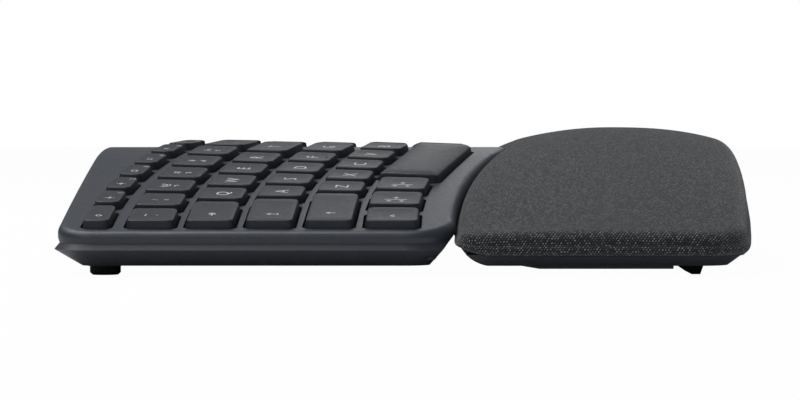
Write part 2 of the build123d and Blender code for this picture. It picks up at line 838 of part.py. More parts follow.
def upright_arc_middle(nose, other):
    """Middle of the arc that leaves the nose upright and ends at another point."""
    run, rise = other.Y - nose.Y, other.Z - nose.Z
    radius = (run**2 + rise**2) / (2 * run)
    half_turn = atan2(rise, radius - run) / 2
    reach = radius * (1 - cos(half_turn))
    return Vector(nose.X, nose.Y + reach, nose.Z + radius * sin(half_turn))


def pad_section(reach, last):
    """YZ face of the pad at a reach from its left end."""
    x = left_x + reach
    run = crest_reach if x < crest_x else palm_right_reach - crest_reach
    share = (x - crest_x) / run
    crown = wave_at(x)[0] + palm_crown * (1 - share**2) - (palm_end_drop if last else 0)
    rise = crown - palm_seam_height
    fan_run = min(max(x - fan_x, 0), fan_reach) if x < crest_x else max(crest_x + fan_reach - x, 0)
    edge_y = fan_y + sqrt(front_edge_radius**2 - min(fan_run, fan_reach) ** 2) + palm_rear_tuck
    rear = min(edge_y, crease_y - crease_gap)
    front = palm_front_y(x)
    peak = Vector(x, rear - palm_crown_share * (rear - front), crown)
    nose = Vector(x, front, palm_seam_height + palm_front_share * rise)
    drop = palm_shoulder_share * rise
    shoulder_run = min(palm_shoulder_run, crown - drop - nose.Z)
    shoulder = Vector(x, front + shoulder_run, crown - drop)
    radius = ((peak.Y - shoulder.Y) ** 2 + drop**2) / (2 * drop)
    back_top = crown - radius + sqrt(radius**2 - (rear - peak.Y) ** 2)
    low_front = Vector(x, front + palm_tuck, palm_seam_height)
    low_back, high_back = Vector(x, rear, palm_seam_height), Vector(x, rear, back_top)
    edges = [
        Edge.make_line(low_back, high_back),
        Edge.make_three_point_arc(high_back, peak, shoulder),
        Edge.make_three_point_arc(shoulder, upright_arc_middle(nose, shoulder), nose),
        Edge.make_three_point_arc(nose, upright_arc_middle(nose, low_front), low_front),
        Edge.make_line(low_front, low_back),
    ]
    return Face(Wire(edges))


def make_palm_pad():
    """Foam pad in its fabric: a crowned cushion that laps down over the support."""
    right_run = palm_right_reach - crest_reach
    reaches = [share * crest_reach for share in palm_left_shares] + [crest_reach]
    reaches += [crest_reach + share * right_run for share in palm_right_shares]
    sections = [pad_section(reach, reach in (reaches[0], reaches[-1])) for reach in reaches]
    pad = loft(sections, ruled=True)
    deck_room = prism(case_outline(crease_gap), 0, overall_height + overrun)
    return pad - support_form(pad_seat_gap) - deck_room - channel()


def leg_pod(centre_x):
    """Block under the palm rest that holds a pair of nested legs, with a ramp at its rear."""
    pod_rear_y = pod_front_y + pod_length
    corners = [
        (pod_front_y, palm_base_top),
        (pod_front_y, pod_bottom),
        (pod_rear_y - pod_ramp, pod_bottom),
        (pod_rear_y, palm_base_bottom),
        (pod_rear_y, palm_base_top),
    ]
    return along_x(yz_sheet(corners), centre_x - pod_width / 2, centre_x + pod_width / 2)


def leg_axle(centre_x):
    """Place of a pair of legs' hinge axis, along X."""
    return Pos(centre_x, leg_axis_y, leg_axis_height) * Rot(0, 90, 0)


def leg_recess(centre_x):
    """Room for the nested legs, open below, with the bore for their pin."""
    half = large_leg_width / 2 + leg_gap
    low = (centre_x - half, leg_axis_y - leg_thickness / 2 - leg_gap, 0)
    high = (
        centre_x + half,
        leg_axis_y + large_leg_length + leg_gap,
        leg_axis_height + leg_thickness / 2 + leg_roof_gap,
    )
    bore = Cylinder(hinge_pin_radius + hinge_running_gap, hinge_pin_length + 2 * leg_gap)
    return [box_between(low, high), leg_axle(centre_x) * bore]


def make_palm_base():
    """Plate under the palm rest with its tapered edge, the leg pods and their recesses."""
    fall = palm_base_top - palm_base_bottom
    lean = degrees(atan2(palm_taper_run, fall))
    rim = Pos(0, 0, palm_base_top) * palm_outline(palm_base_inset)
    plate = extrude(rim, amount=fall, dir=(0, 0, -1), taper=lean)
    plate = plate + [leg_pod(x) for x in pod_xs] - channel()
    return plate.cut(*[tool for x in pod_xs for tool in leg_recess(x)])


def leg_body(centre_x, width, length, window_width, window_length):
    """Flat leg with a round knuckle on its hinge axis and an optional window from the knuckle."""
    half = leg_thickness / 2
    plate = box_between(
        (centre_x - width / 2, leg_axis_y, leg_axis_height - half),
        (centre_x + width / 2, leg_axis_y + length, leg_axis_height + half),
    )
    leg = plate + leg_axle(centre_x) * Cylinder(half, width)
    leg -= leg_axle(centre_x) * Cylinder(hinge_pin_radius + hinge_running_gap, 2 * width)
    if window_width:
        leg -= box_between(
            (centre_x - window_width / 2, leg_axis_y - leg_thickness, 0),
            (centre_x + window_width / 2, leg_axis_y + window_length, overall_height),
        )
    return leg


def palm_foot(centre_x):
    """Rubber wedge under the palm rest that leans forward to its tip."""
    tip_y = pod_front_y - palm_foot_gap - palm_foot_slope
    corners = [
        (pod_front_y - palm_foot_gap, palm_base_bottom),
        (tip_y, 0),
        (tip_y - palm_foot_tip, 0),
        (tip_y - palm_foot_slope / 2 - palm_foot_tip / 2, palm_base_bottom),
    ]
    half = palm_foot_width / 2
    return along_x(yz_sheet(corners), centre_x - half, centre_x + half)


def make_feet():
    """Round rubber feet under the case and wedge feet under the palm rest."""
    disc = Cylinder(foot_radius, foot_height)
    disc = chamfer(disc.edges().sort_by(Axis.Z)[0], foot_rim_chamfer)
    discs = [Pos(x, y, foot_height / 2) * disc for x, y in foot_places]
    return discs + [palm_foot(x) for x in (pod_xs[0], crest_x, pod_xs[1])]


# Power
def make_batteries():
    """Two cells side by side, each with its raised pole at opposite ends."""
    can = Pos(0, 0, -pole_length / 2) * Cylinder(cell_radius, cell_length - pole_length)
    cell = can + Pos(0, 0, (cell_length - pole_length) / 2) * Cylinder(pole_radius, pole_length)
    places = [Pos(bay_x, bay_y + side * cell_step, cell_z) for side in (-1, 1)]
    return [place * Rot(0, turn, 0) * cell for place, turn in zip(places, (90, -90))]


def make_contacts():
    """Contact plates at both ends of the bay, each with a pressed point towards its cell."""
    contacts = []
    base = Rectangle(contact_point_base, contact_point_base).face()
    lean = degrees(atan2((contact_point_base - contact_point_tip) / 2, contact_point_height))
    spring_form = extrude(base, amount=contact_point_height, taper=lean)
    for end in (-1, 1):
        for side in (-1, 1):
            y = bay_y + side * cell_step
            x = bay_x + end * (bay_length / 2 - fit_gap - contact_thickness / 2)
            plate = Pos(x, y, cell_z) * Box(contact_thickness, contact_side, contact_side)
            foot = Pos(x - end * contact_thickness / 2, y, cell_z) * Rot(0, -90 * end, 0)
            contacts.append(plate + foot * spring_form)
    return contacts


def make_cover():
    """Battery cover, flush with the underside, with a finger groove."""
    size = (bay_length - 2 * cover_gap, bay_width - 2 * cover_gap)
    plate = floor_box((bay_x, bay_y), size, underside_height, floor_top)
    grip_place, grip_size = (bay_x, bay_y - bay_width / 4), (cover_grip_width, cell_radius)
    return plate - floor_box(grip_place, grip_size, 0, underside_height + cover_grip_height)


def make_board():
    """Circuit board with one chip."""
    place, low = (board_x, board_y), floor_top + board_post_height
    board = floor_box(place, (board_length, board_width), low, low + board_thickness)
    chip_low = low + board_thickness
    return board + floor_box(place, (chip_side, chip_side), chip_low, chip_low + chip_height)


def make_switch():
    """Slide switch: a knob through the floor with a flange above it."""
    place, low = (switch_x, switch_y), floor_top + fit_gap
    size = (switch_knob_length, switch_knob_width)
    knob = floor_box(place, size, foot_height + fit_gap, low)
    flange = (switch_knob_length + 2 * switch_flange, switch_knob_width + 2 * switch_flange)
    return knob + floor_box(place, flange, low, low + switch_flange_thickness)


# Nodes
def save(name, shapes):
    """Write one node, from one solid or several."""
    solids = shapes if isinstance(shapes, list) else [shapes]
    parts = [solid for shape in solids for solid in shape.solids()]
    node = parts[0] if len(parts) == 1 else Compound(children=parts)
    export_step(node, f"parts/{name}.step")


def build():
    """Build and write every node of the keyboard."""
    os.makedirs("parts", exist_ok=True)
    left, right = left_block(), right_block()
    navigation, number_pad = navigation_block(), number_block()
    keys = left + right + navigation + number_pad
    for key in left:
        save(f"key_{key.name}", placed_cap(key))
    inner = [key for key in right if key.x < crest_x + right_inner_run]
    outer = [key for key in right if key.x >= crest_x + right_inner_run]
    save("keys_right_inner", [placed_cap(key) for key in inner])
    save("keys_right_outer", [placed_cap(key) for key in outer])
    save("navigation_keys", [placed_cap(key) for key in navigation])
    save("number_pad_keys", [placed_cap(key) for key in number_pad])
    save("top_case", make_top_case(keys))
    save("bottom_case", make_bottom_case())
    save("key_frame", make_key_frame(keys))
    save("membrane_sheet", make_membrane())
    save("rubber_domes", [dome(key) for key in keys])
    save("circuit_board", make_board())
    save("batteries", make_batteries())
    save("battery_contacts", make_contacts())
    save("battery_cover", make_cover())
    save("power_switch", make_switch())
    save("palm_rest_support", make_palm_support())
    save("palm_rest_base", make_palm_base())
    save("palm_rest_pad", make_palm_pad())
    save("rubber_feet", make_feet())
    window = (small_leg_width + 2 * leg_gap, small_leg_length + leg_gap)
    for side, x in zip(("left", "right"), pod_xs):
        save(f"leg_large_{side}", leg_body(x, large_leg_width, large_leg_length, *window))
        save(f"leg_small_{side}", leg_body(x, small_leg_width, small_leg_length, 0, 0))
    pin = Cylinder(hinge_pin_radius, hinge_pin_length)
    save("leg_pins", [leg_axle(x) * pin for x in pod_xs])


build()
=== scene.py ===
"""Looks of an ergonomic split keyboard with a wave-shaped deck and a padded palm rest.

Sizes are in millimetres in the classes and become metres when a mesh is made. X runs to the
user's right, Y away from the user and Z up, with the origin on the table under the middle.
"""

from __future__ import annotations

import json
import logging
import math
from dataclasses import dataclass, field
from enum import Enum

import bmesh
import bpy
import numpy as np
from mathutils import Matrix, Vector

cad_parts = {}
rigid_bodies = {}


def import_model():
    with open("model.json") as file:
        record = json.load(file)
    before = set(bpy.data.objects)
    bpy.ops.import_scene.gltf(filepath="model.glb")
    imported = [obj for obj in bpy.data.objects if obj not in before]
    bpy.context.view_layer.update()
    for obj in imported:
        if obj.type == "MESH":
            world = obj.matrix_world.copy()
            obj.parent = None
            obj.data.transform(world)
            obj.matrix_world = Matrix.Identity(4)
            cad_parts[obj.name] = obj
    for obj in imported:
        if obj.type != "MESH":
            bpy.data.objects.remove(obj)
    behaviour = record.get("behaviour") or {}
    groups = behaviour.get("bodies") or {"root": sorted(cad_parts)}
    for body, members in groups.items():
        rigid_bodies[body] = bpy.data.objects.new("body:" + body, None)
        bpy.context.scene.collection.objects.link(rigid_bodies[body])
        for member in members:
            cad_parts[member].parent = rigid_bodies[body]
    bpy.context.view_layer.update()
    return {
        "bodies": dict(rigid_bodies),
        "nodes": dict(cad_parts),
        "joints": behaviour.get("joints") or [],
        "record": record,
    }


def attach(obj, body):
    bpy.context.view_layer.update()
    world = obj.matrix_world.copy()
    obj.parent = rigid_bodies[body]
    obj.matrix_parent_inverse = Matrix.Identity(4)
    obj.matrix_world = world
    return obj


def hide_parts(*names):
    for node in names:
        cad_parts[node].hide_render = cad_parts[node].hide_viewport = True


LOG = logging.getLogger("split_keyboard")
MM = 0.001
WHITE = (1.0, 1.0, 1.0, 1.0)
NOISE_SPAN = (0.3, 0.7)
Colour = tuple[float, float, float]
Faces = list[tuple[int, ...]]
Shape = tuple[np.ndarray, Faces]
Stroke = tuple[float, float, float, float]
Socket = bpy.types.NodeSocket


# Finishes


class Nodes:
    """Short hand for the node tree of a material or of the world."""

    def __init__(self, owner: bpy.types.ID) -> None:
        """Empties the tree.

        Args:
            owner: New material or world that the tree belongs to.
        """
        self.owner = owner
        owner.use_nodes = True
        self.tree = owner.node_tree
        self.tree.nodes.clear()

    def feed(self, socket: Socket, value: object) -> None:
        """Links an input to an output socket, or sets it to a value.

        Args:
            socket: The input.
            value: Output socket or value that it gets.
        """
        if isinstance(value, Socket):
            self.tree.links.new(value, socket)
        else:
            socket.default_value = value

    def add(self, kind: str, *inputs: object, **named: object) -> bpy.types.Node:
        """Adds a node.

        Args:
            kind: Blender's name of the node type, without the words that all of them share.
            inputs: Its first inputs in order, as sockets or values.
            named: Its other inputs and its settings, by name.

        Returns:
            The new node.
        """
        node = self.tree.nodes.new(f"ShaderNode{kind}")
        for name, value in named.items():
            if name in node.inputs:
                self.feed(node.inputs[name], value)
            else:
                setattr(node, name, value)
        for socket, value in zip(node.inputs, inputs):
            self.feed(socket, value)
        return node

    def place(self, kind: str = "Object") -> Socket:
        """Coordinates of the surface, by default in the object's own frame."""
        return self.add("TexCoord").outputs[kind]

    def math(self, operation: str, *values: object) -> Socket:
        """Result of one operation on sockets or numbers."""
        return self.add("Math", *values, operation=operation).outputs[0]

    def plus(self, first: Socket, second: object) -> Socket:
        """Sum of two values."""
        return self.math("ADD", first, second)

    def times(self, first: Socket, second: object) -> Socket:
        """Product of two values."""
        return self.math("MULTIPLY", first, second)

    def centred(self, value: Socket, factor: float) -> Socket:
        """A value less one half, times a factor."""
        return self.times(self.math("SUBTRACT", value, 0.5), factor)

    def noise(self, vector: Socket, scale: float, detail: float) -> Socket:
        """Noise between 0 and 1.

        Args:
            vector: Coordinates to read.
            scale: Waves per metre.
            detail: Octaves of finer noise.

        Returns:
            The noise value's socket.
        """
        return self.add("TexNoise", Vector=vector, Scale=scale, Detail=detail).outputs[0]

    def tones(self, factor: Socket, *stops: tuple[float, Colour]) -> Socket:
        """Turns a factor into a colour over several stops.

        Args:
            factor: Value between 0 and 1.
            stops: Positions with their colours.

        Returns:
            The colour's socket.
        """
        ramp = self.add("ValToRGB", factor)
        elements = ramp.color_ramp.elements
        while len(elements) < len(stops):
            elements.new(0.5)
        for element, (place, colour) in zip(elements, stops):
            element.position = place
            element.color = (*colour, 1.0)
        return ramp.outputs[0]

    def spread(self, factor: Socket, low: float, high: float) -> Socket:
        """Maps the span in which noise mostly lies onto a span of values."""
        return self.add("MapRange", factor, *NOISE_SPAN, low, high).outputs[0]

    def surface(
        self,
        colour: Socket,
        rough: Socket,
        height: Socket | None = None,
        relief: float = 0.0,
        **constants: float,
    ) -> bpy.types.Material:
        """Closes the tree with a principled shader.

        Args:
            colour: Base colour.
            rough: Roughness.
            height: Height for the bump, or nothing.
            relief: Depth of the bump in metres.
            constants: Values of the shader's other inputs, by name.

        Returns:
            The finished material.
        """
        inputs = {"Base Color": colour, "Roughness": rough, **constants}
        if height is not None:
            bump = self.add("Bump", Strength=1.0, Distance=relief, Height=height)
            inputs["Normal"] = bump.outputs[0]
        shader = self.add("BsdfPrincipled", **inputs)
        self.add("OutputMaterial", shader.outputs[0])
        return self.owner

    def for_camera(self, shown: bpy.types.Node, other: bpy.types.Node, share: float) -> Socket:
        """Shader that looks different to the camera than to every other ray.

        Args:
            shown: Shader for the camera's own rays.
            other: Shader for the other rays.
            share: Share of the first shader in what the camera sees.

        Returns:
            The mixed shader's socket.
        """
        seen = self.times(self.add("LightPath").outputs["Is Camera Ray"], share)
        return self.add("MixShader", seen, other.outputs[0], shown.outputs[0]).outputs[0]


def shade(colour: Colour, share: float) -> Colour:
    """Colour made lighter or darker by a share."""
    return tuple(min(1.0, c * share) for c in colour)


@dataclass(frozen=True)
class MouldedPlastic:
    """Plastic with a fine eroded grain, faint clouding and slightly uneven gloss.

    Scales are in waves per metre and the relief is in metres.
    """

    name: str
    colour: Colour
    roughness: float = 0.5
    grain_scale: float = 2600.0
    relief: float = 0.00002
    cloud: float = 0.035
    cloud_scale: float = 210.0
    wear: float = 0.04
    wear_scale: float = 640.0

    def build(self) -> bpy.types.Material:
        """Makes the material.

        Returns:
            The material.
        """
        nodes = Nodes(bpy.data.materials.new(self.name))
        place = nodes.place()
        cloud = nodes.noise(place, self.cloud_scale, detail=5.0)
        tones = (shade(self.colour, 1 - self.cloud), shade(self.colour, 1 + self.cloud))
        colour = nodes.tones(cloud, *zip(NOISE_SPAN, tones))
        wear = nodes.noise(place, self.wear_scale, detail=4.0)
        rough = nodes.spread(wear, self.roughness - self.wear, self.roughness + self.wear)
        grain = nodes.noise(place, self.grain_scale, detail=2.0)
        return nodes.surface(colour, rough, grain, self.relief)


@dataclass(frozen=True)
class Speckled:
    """Finish whose tone, gloss and any relief follow one noise.

    The scale is in waves per metre, finer across X by the stretch, and the relief is in metres.
    The shares make the colour darker or lighter at two stops of the noise, and the gloss is
    what the roughness loses and gains.
    """

    name: str
    colour: Colour
    roughness: float
    scale: float
    detail: float
    stops: tuple[float, float]
    shares: tuple[float, float]
    gloss: tuple[float, float]
    relief: float = 0.0
    stretch: float = 1.0
    metallic: float = 0.0

    def build(self) -> bpy.types.Material:
        """Makes the material.

        Returns:
            The material.
        """
        nodes = Nodes(bpy.data.materials.new(self.name))
        place = nodes.place()
        if self.stretch != 1.0:
            scale = (1.0, self.stretch, self.stretch)
            place = nodes.add("Mapping", Vector=place, Scale=scale).outputs[0]
        speck = nodes.noise(place, self.scale, self.detail)
        stops = [(stop, shade(self.colour, share)) for stop, share in zip(self.stops, self.shares)]
        low, high = (self.roughness + change for change in self.gloss)
        return nodes.surface(
            nodes.tones(speck, *stops),
            nodes.spread(speck, low, high),
            speck if self.relief else None,
            self.relief,
            Metallic=self.metallic,
        )


@dataclass(frozen=True)
class SoftRubber(Speckled):
    """Matte rubber with fine speckles and hardly any shine."""

    roughness: float = 0.85
    scale: float = 900.0
    detail: float = 4.0
    stops: tuple[float, float] = (0.35, 0.7)
    shares: tuple[float, float] = (0.85, 1.25)
    gloss: tuple[float, float] = (-0.08, 0.05)
    relief: float = 0.00003


@dataclass(frozen=True)
class BrightMetal(Speckled):
    """Plated or ground metal with fine scratches that run along X."""

    roughness: float = 0.3
    scale: float = 240.0
    detail: float = 6.0
    stops: tuple[float, float] = NOISE_SPAN
    shares: tuple[float, float] = (0.85, 1.0)
    gloss: tuple[float, float] = (-0.08, 0.12)
    relief: float = 0.00001
    stretch: float = 14.0
    metallic: float = 1.0


@dataclass(frozen=True)
class PrintedInk(Speckled):
    """Light flat ink of the key legends, a little uneven in tone."""

    roughness: float = 0.5
    scale: float = 4000.0
    detail: float = 2.0
    stops: tuple[float, float] = (0.25, 0.5)
    shares: tuple[float, float] = (0.8, 1.0)
    gloss: tuple[float, float] = (-0.05, 0.1)


@dataclass(frozen=True)
class FleckedWeave:
    """Dark woven fabric whose weft shows as rows of short light flecks, each row set over by half.

    Pitches are in millimetres, scales in waves per metre and the relief in metres.
    """

    name: str
    ground: Colour
    fleck: Colour
    fleck_pitch: float = 0.98
    row_pitch: float = 0.78
    row_shift: float = 0.5
    slant: float = 0.5
    row_squeeze: float = 2.25
    fleck_squeeze: float = 3.3
    wobble: float = 0.7
    wobble_scale: float = 420.0
    dim_stop: float = 0.35
    dim_share: float = 2.0
    least_light: float = 0.34
    light_power: float = 1.3
    edge_power: float = 0.6
    hill_power: float = 0.5
    thread_scale: float = 5200.0
    thread_light: float = 0.8
    thread_least: float = 0.6
    thread_height: float = 0.35
    relief: float = 0.00012
    roughness: tuple[float, float] = (0.85, 0.95)
    sheen: float = 0.22
    sheen_roughness: float = 0.5

    def build(self) -> bpy.types.Material:
        """Makes the material.

        The UV map holds millimetres, and noise lets the rows wander a little. A row's number is
        the floor of u over the row pitch. A fleck's number in its row is the floor of v over the
        fleck pitch plus half the row's number. A fleck is a slanted ellipse in the middle of its
        cell, narrower than the cell by one squeeze for each way, a hill that falls from one by
        the squared distance. Its light is drawn for each cell, and a finer noise stands for the
        threads on it.

        Returns:
            The material.
        """
        nodes = Nodes(bpy.data.materials.new(self.name))
        place = nodes.place()
        u, v, _ = nodes.add("SeparateXYZ", nodes.place("UV")).outputs
        wobble = nodes.centred(nodes.noise(place, self.wobble_scale, detail=2.0), self.wobble)
        row_place = nodes.plus(nodes.math("DIVIDE", u, self.row_pitch), wobble)
        row = nodes.math("FLOOR", row_place)
        along = nodes.plus(nodes.math("DIVIDE", v, self.fleck_pitch), nodes.times(row, self.row_shift))
        along = nodes.plus(along, wobble)
        in_row = nodes.centred(nodes.math("FRACT", row_place), self.row_squeeze)
        in_fleck = nodes.centred(nodes.math("FRACT", along), self.fleck_squeeze)
        in_fleck = nodes.plus(in_fleck, nodes.times(in_row, self.slant))
        away = nodes.plus(nodes.times(in_row, in_row), nodes.times(in_fleck, in_fleck))
        hill = nodes.math("MAXIMUM", nodes.math("SUBTRACT", 1.0, away), 0.0)
        cell = nodes.add("CombineXYZ", row, nodes.math("FLOOR", along)).outputs[0]
        chance = nodes.add("TexWhiteNoise", cell, noise_dimensions="3D").outputs[0]
        drawn = nodes.times(nodes.math("POWER", chance, self.light_power), 1 - self.least_light)
        bright = nodes.plus(drawn, self.least_light)
        thread = nodes.noise(place, self.thread_scale, detail=2.0)
        light = nodes.times(nodes.math("POWER", hill, self.edge_power), bright)
        threads = nodes.plus(nodes.times(thread, self.thread_light), self.thread_least)
        light = nodes.times(light, threads)
        dim = shade(self.ground, self.dim_share)
        colour = nodes.tones(light, (0.0, self.ground), (self.dim_stop, dim), (1.0, self.fleck))
        relief = nodes.math("POWER", hill, self.hill_power)
        height = nodes.plus(relief, nodes.times(thread, self.thread_height))
        sheen = {"Sheen Weight": self.sheen, "Sheen Roughness": self.sheen_roughness}
        rough = nodes.spread(thread, *self.roughness)
        return nodes.surface(colour, rough, height, self.relief, **sheen)


class Finish(Enum):
    """Finishes of this keyboard, by the part that wears them."""

    DECK = MouldedPlastic("deck_plastic", (0.032, 0.038, 0.050), 0.44)
    KEY = MouldedPlastic("key_plastic", (0.015, 0.0185, 0.026), 0.48, 3200.0, 0.000016)
    BASE = MouldedPlastic("base_plastic", (0.036, 0.041, 0.052), 0.46)
    LEG = MouldedPlastic("leg_plastic", (0.024, 0.026, 0.03), 0.5)
    FABRIC = FleckedWeave("pad_fabric", (0.008, 0.0095, 0.012), (0.31, 0.32, 0.335))
    SEAM = SoftRubber("seam_binding", (0.004, 0.0045, 0.005), 0.9)
    FOOT = SoftRubber("foot_rubber", (0.012, 0.012, 0.013))
    DOME = SoftRubber("dome_rubber", (0.42, 0.42, 0.4), 0.6)
    FILM = MouldedPlastic("membrane_film", (0.55, 0.58, 0.55), 0.3, 900.0, 0.00001)
    BOARD = MouldedPlastic("board_laminate", (0.015, 0.12, 0.05), 0.35, 700.0, cloud=0.2)
    CELL = BrightMetal("cell_jacket", (0.42, 0.42, 0.43), 0.35)
    CONTACT = BrightMetal("contact_steel", (0.72, 0.72, 0.7), 0.25)
    SWITCH = MouldedPlastic("switch_plastic", (0.2, 0.21, 0.22), 0.4)
    PIN = BrightMetal("pin_steel", (0.6, 0.6, 0.6), 0.3)
    INK = PrintedInk("legend_ink", (0.68, 0.69, 0.7))


class Wardrobe:
    """Makes each finish's material once and hands it out."""

    def __init__(self) -> None:
        """Starts with nothing made."""
        self.made: dict[Finish, bpy.types.Material] = {}

    def get(self, finish: Finish) -> bpy.types.Material:
        """Material of a finish, made on first use.

        Args:
            finish: The finish.

        Returns:
            Its material.
        """
        if finish not in self.made:
            self.made[finish] = finish.value.build()
        return self.made[finish]


# Meshes


def mesh_piece(
    name: str,
    points: np.ndarray,
    faces: Faces,
    materials: list[bpy.types.Material],
    slots: np.ndarray | None = None,
    smooth_angle: float = 40.0,
) -> bpy.types.Object:
    """Makes a mesh object at the origin from points in millimetres.

    Args:
        name: Name of the piece.
        points: Array of shape (n, 3) in millimetres.
        faces: Corners of each face.
        materials: Materials of the piece.
        slots: Material number of each face, or nothing for all zero.
        smooth_angle: Angle in degrees above which an edge stays sharp.

    Returns:
        The new object.
    """
    mesh = bpy.data.meshes.new(name)
    mesh.from_pydata((np.asarray(points) * MM).tolist(), [], faces)
    for material in materials:
        mesh.materials.append(material)
    if slots is not None:
        mesh.polygons.foreach_set("material_index", np.asarray(slots, dtype=np.int32))
    mesh.shade_smooth()
    mesh.set_sharp_from_angle(angle=math.radians(smooth_angle))
    mesh.update()
    piece = bpy.data.objects.new(name, mesh)
    bpy.context.scene.collection.objects.link(piece)
    return piece


def ring_faces(rings: int, count: int, start: int = 0) -> Faces:
    """Quads between closed rings of equal count, each ring after the one before it.

    Args:
        rings: Number of rings.
        count: Points of each ring.
        start: Number of the first point.

    Returns:
        The quads, which face outwards when rings climb and run anticlockwise.
    """
    step = np.arange(count)
    after = (step + 1) % count
    quads = []
    for low in range(start, start + (rings - 1) * count, count):
        high = low + count
        quads.append(np.stack([low + step, low + after, high + after, high + step], axis=1))
    return [tuple(q) for q in np.concatenate(quads).tolist()]


def fan_faces(first: int, count: int, tip: int, upwards: bool) -> Faces:
    """Triangles between a closed ring and one point.

    Args:
        first: Number of the ring's first point.
        count: Points of the ring.
        tip: Number of the point.
        upwards: Whether the triangles of an anticlockwise ring face up or down.

    Returns:
        The triangles.
    """
    pairs = [(first + i, first + (i + 1) % count) for i in range(count)]
    return [(a, b, tip) if upwards else (b, a, tip) for a, b in pairs]


def turned(angle: float) -> np.ndarray:
    """Matrix by which plan points, kept as rows, are turned through an angle in radians."""
    return np.array([[math.cos(angle), math.sin(angle)], [-math.sin(angle), math.cos(angle)]])


def share_past(values: np.ndarray, start: float, span: float) -> np.ndarray:
    """How far values lie past a start, as a share of a span, between 0 and 1."""
    return np.clip((values - start) / span, 0, 1)


@dataclass(frozen=True)
class DeckWave:
    """Profile of the deck along X: a crest arc, two gentle flanks and a valley into a flat."""

    left_x: float = -228.0
    crest_reach: float = 154.0
    crest_height: float = 40.4
    crest_radius: float = 232.0
    crest_half_angle: float = 10.0
    flank_radius: float = 2424.0
    right_flank_run: float = 92.0
    valley_radius: float = 160.0

    @property
    def crest_x(self) -> float:
        """Place of the crest."""
        return self.left_x + self.crest_reach

    def height(self, x: np.ndarray) -> np.ndarray:
        """Height of the deck.

        Within the crest it falls on a circle. On a flank the sine of the slope grows by the run
        over the flank's radius. In the valley that sine falls again to nothing.

        Args:
            x: Places in millimetres.

        Returns:
            Heights in millimetres.
        """
        x = np.asarray(x, dtype=float)
        run = np.abs(x - self.crest_x)
        half_angle = math.radians(self.crest_half_angle)
        half_run = self.crest_radius * math.sin(half_angle)
        crest_sine = np.minimum(run, half_run) / self.crest_radius
        crest = self.crest_height - self.crest_radius * (1 - np.sqrt(1 - crest_sine**2))
        limit = np.where(x < self.crest_x, np.inf, self.right_flank_run)
        flank_run = np.clip(run - half_run, 0, limit)
        flank_sine = math.sin(half_angle) + flank_run / self.flank_radius
        cosine = np.sqrt(1 - flank_sine**2)
        flank = self.flank_radius * (math.cos(half_angle) - cosine)
        past = np.maximum(run - half_run - self.right_flank_run, 0)
        past = np.where(x < self.crest_x, 0.0, past)
        valley_sine = np.maximum(flank_sine - past / self.valley_radius, 0)
        valley = self.valley_radius * (np.sqrt(1 - valley_sine**2) - cosine)
        return crest - flank - valley


# Keys

BLANK = "*blank"
SMALL = 0.973


@dataclass(frozen=True)
class KeySeat:
    """One key: the node it stands for, its place, heading, cap size and legend."""

    node: str
    x: float
    y: float
    heading: float
    width: float
    depth: float
    legend: str

    @property
    def body(self) -> str:
        """Body that the key moves with."""
        return f"{self.node}_body"

    @property
    def crowned(self) -> bool:
        """Whether it is a space key, which has a crown and no legend."""
        return self.legend == BLANK


@dataclass(frozen=True)
class FanRow:
    """Legends of one fanned row from its outer end, with its first widths and its keys' names.

    A legend with a star is a mark, by its name, and what follows a slash is a small digit. The
    widths are in key pitches, and the keys after them share what is left of the row.
    """

    legends: str
    widths: tuple[float, ...] = ()
    names: str = ""


LEFT_ROWS = (
    FanRow(
        "*ring *sun/1 *sun/2 *pane/3 *grid/4 *cross/5 *bars/6",
        (1.15,) + (SMALL,) * 5,
        "escape f1 f2 f3 f4 f5 f6",
    ),
    FanRow("`~ 1! 2@ 3# 4$ 5% 6^", (1.0,) * 6, "backquote 1 2 3 4 5 6"),
    FanRow("*tab Q W E R T", (1.5,) + (1.0,) * 4, "tab q w e r t"),
    FanRow("*caps A S D F G", (1.75,) + (1.0,) * 4, "caps_lock a s d f g"),
    FanRow("*shift Z X C V B", (2.25,) + (1.0,) * 4, "left_shift z x c v b"),
    FanRow(f"*hook *rule *rule {BLANK}", (1.25,) * 3, "left_control left_option left_alt left_space"),
)
RIGHT_ROWS = (
    FanRow("*cross *bars *play *play *ring *sun *pane *grid"),
    FanRow("*back =+ -_ 0) 9( 8* 7&", (1.975,) + (SMALL,) * 5),
    FanRow("\\| ]} [{ P O I U Y"),
    FanRow("*enter '\" ;: L K J H", (1.775,) + (SMALL,) * 5),
    FanRow("*shift /? .> ,< M N", (2.75,) + (SMALL,) * 4),
    FanRow(f"*hook *rule *rule *rule {BLANK}", (1.15,) * 4),
)


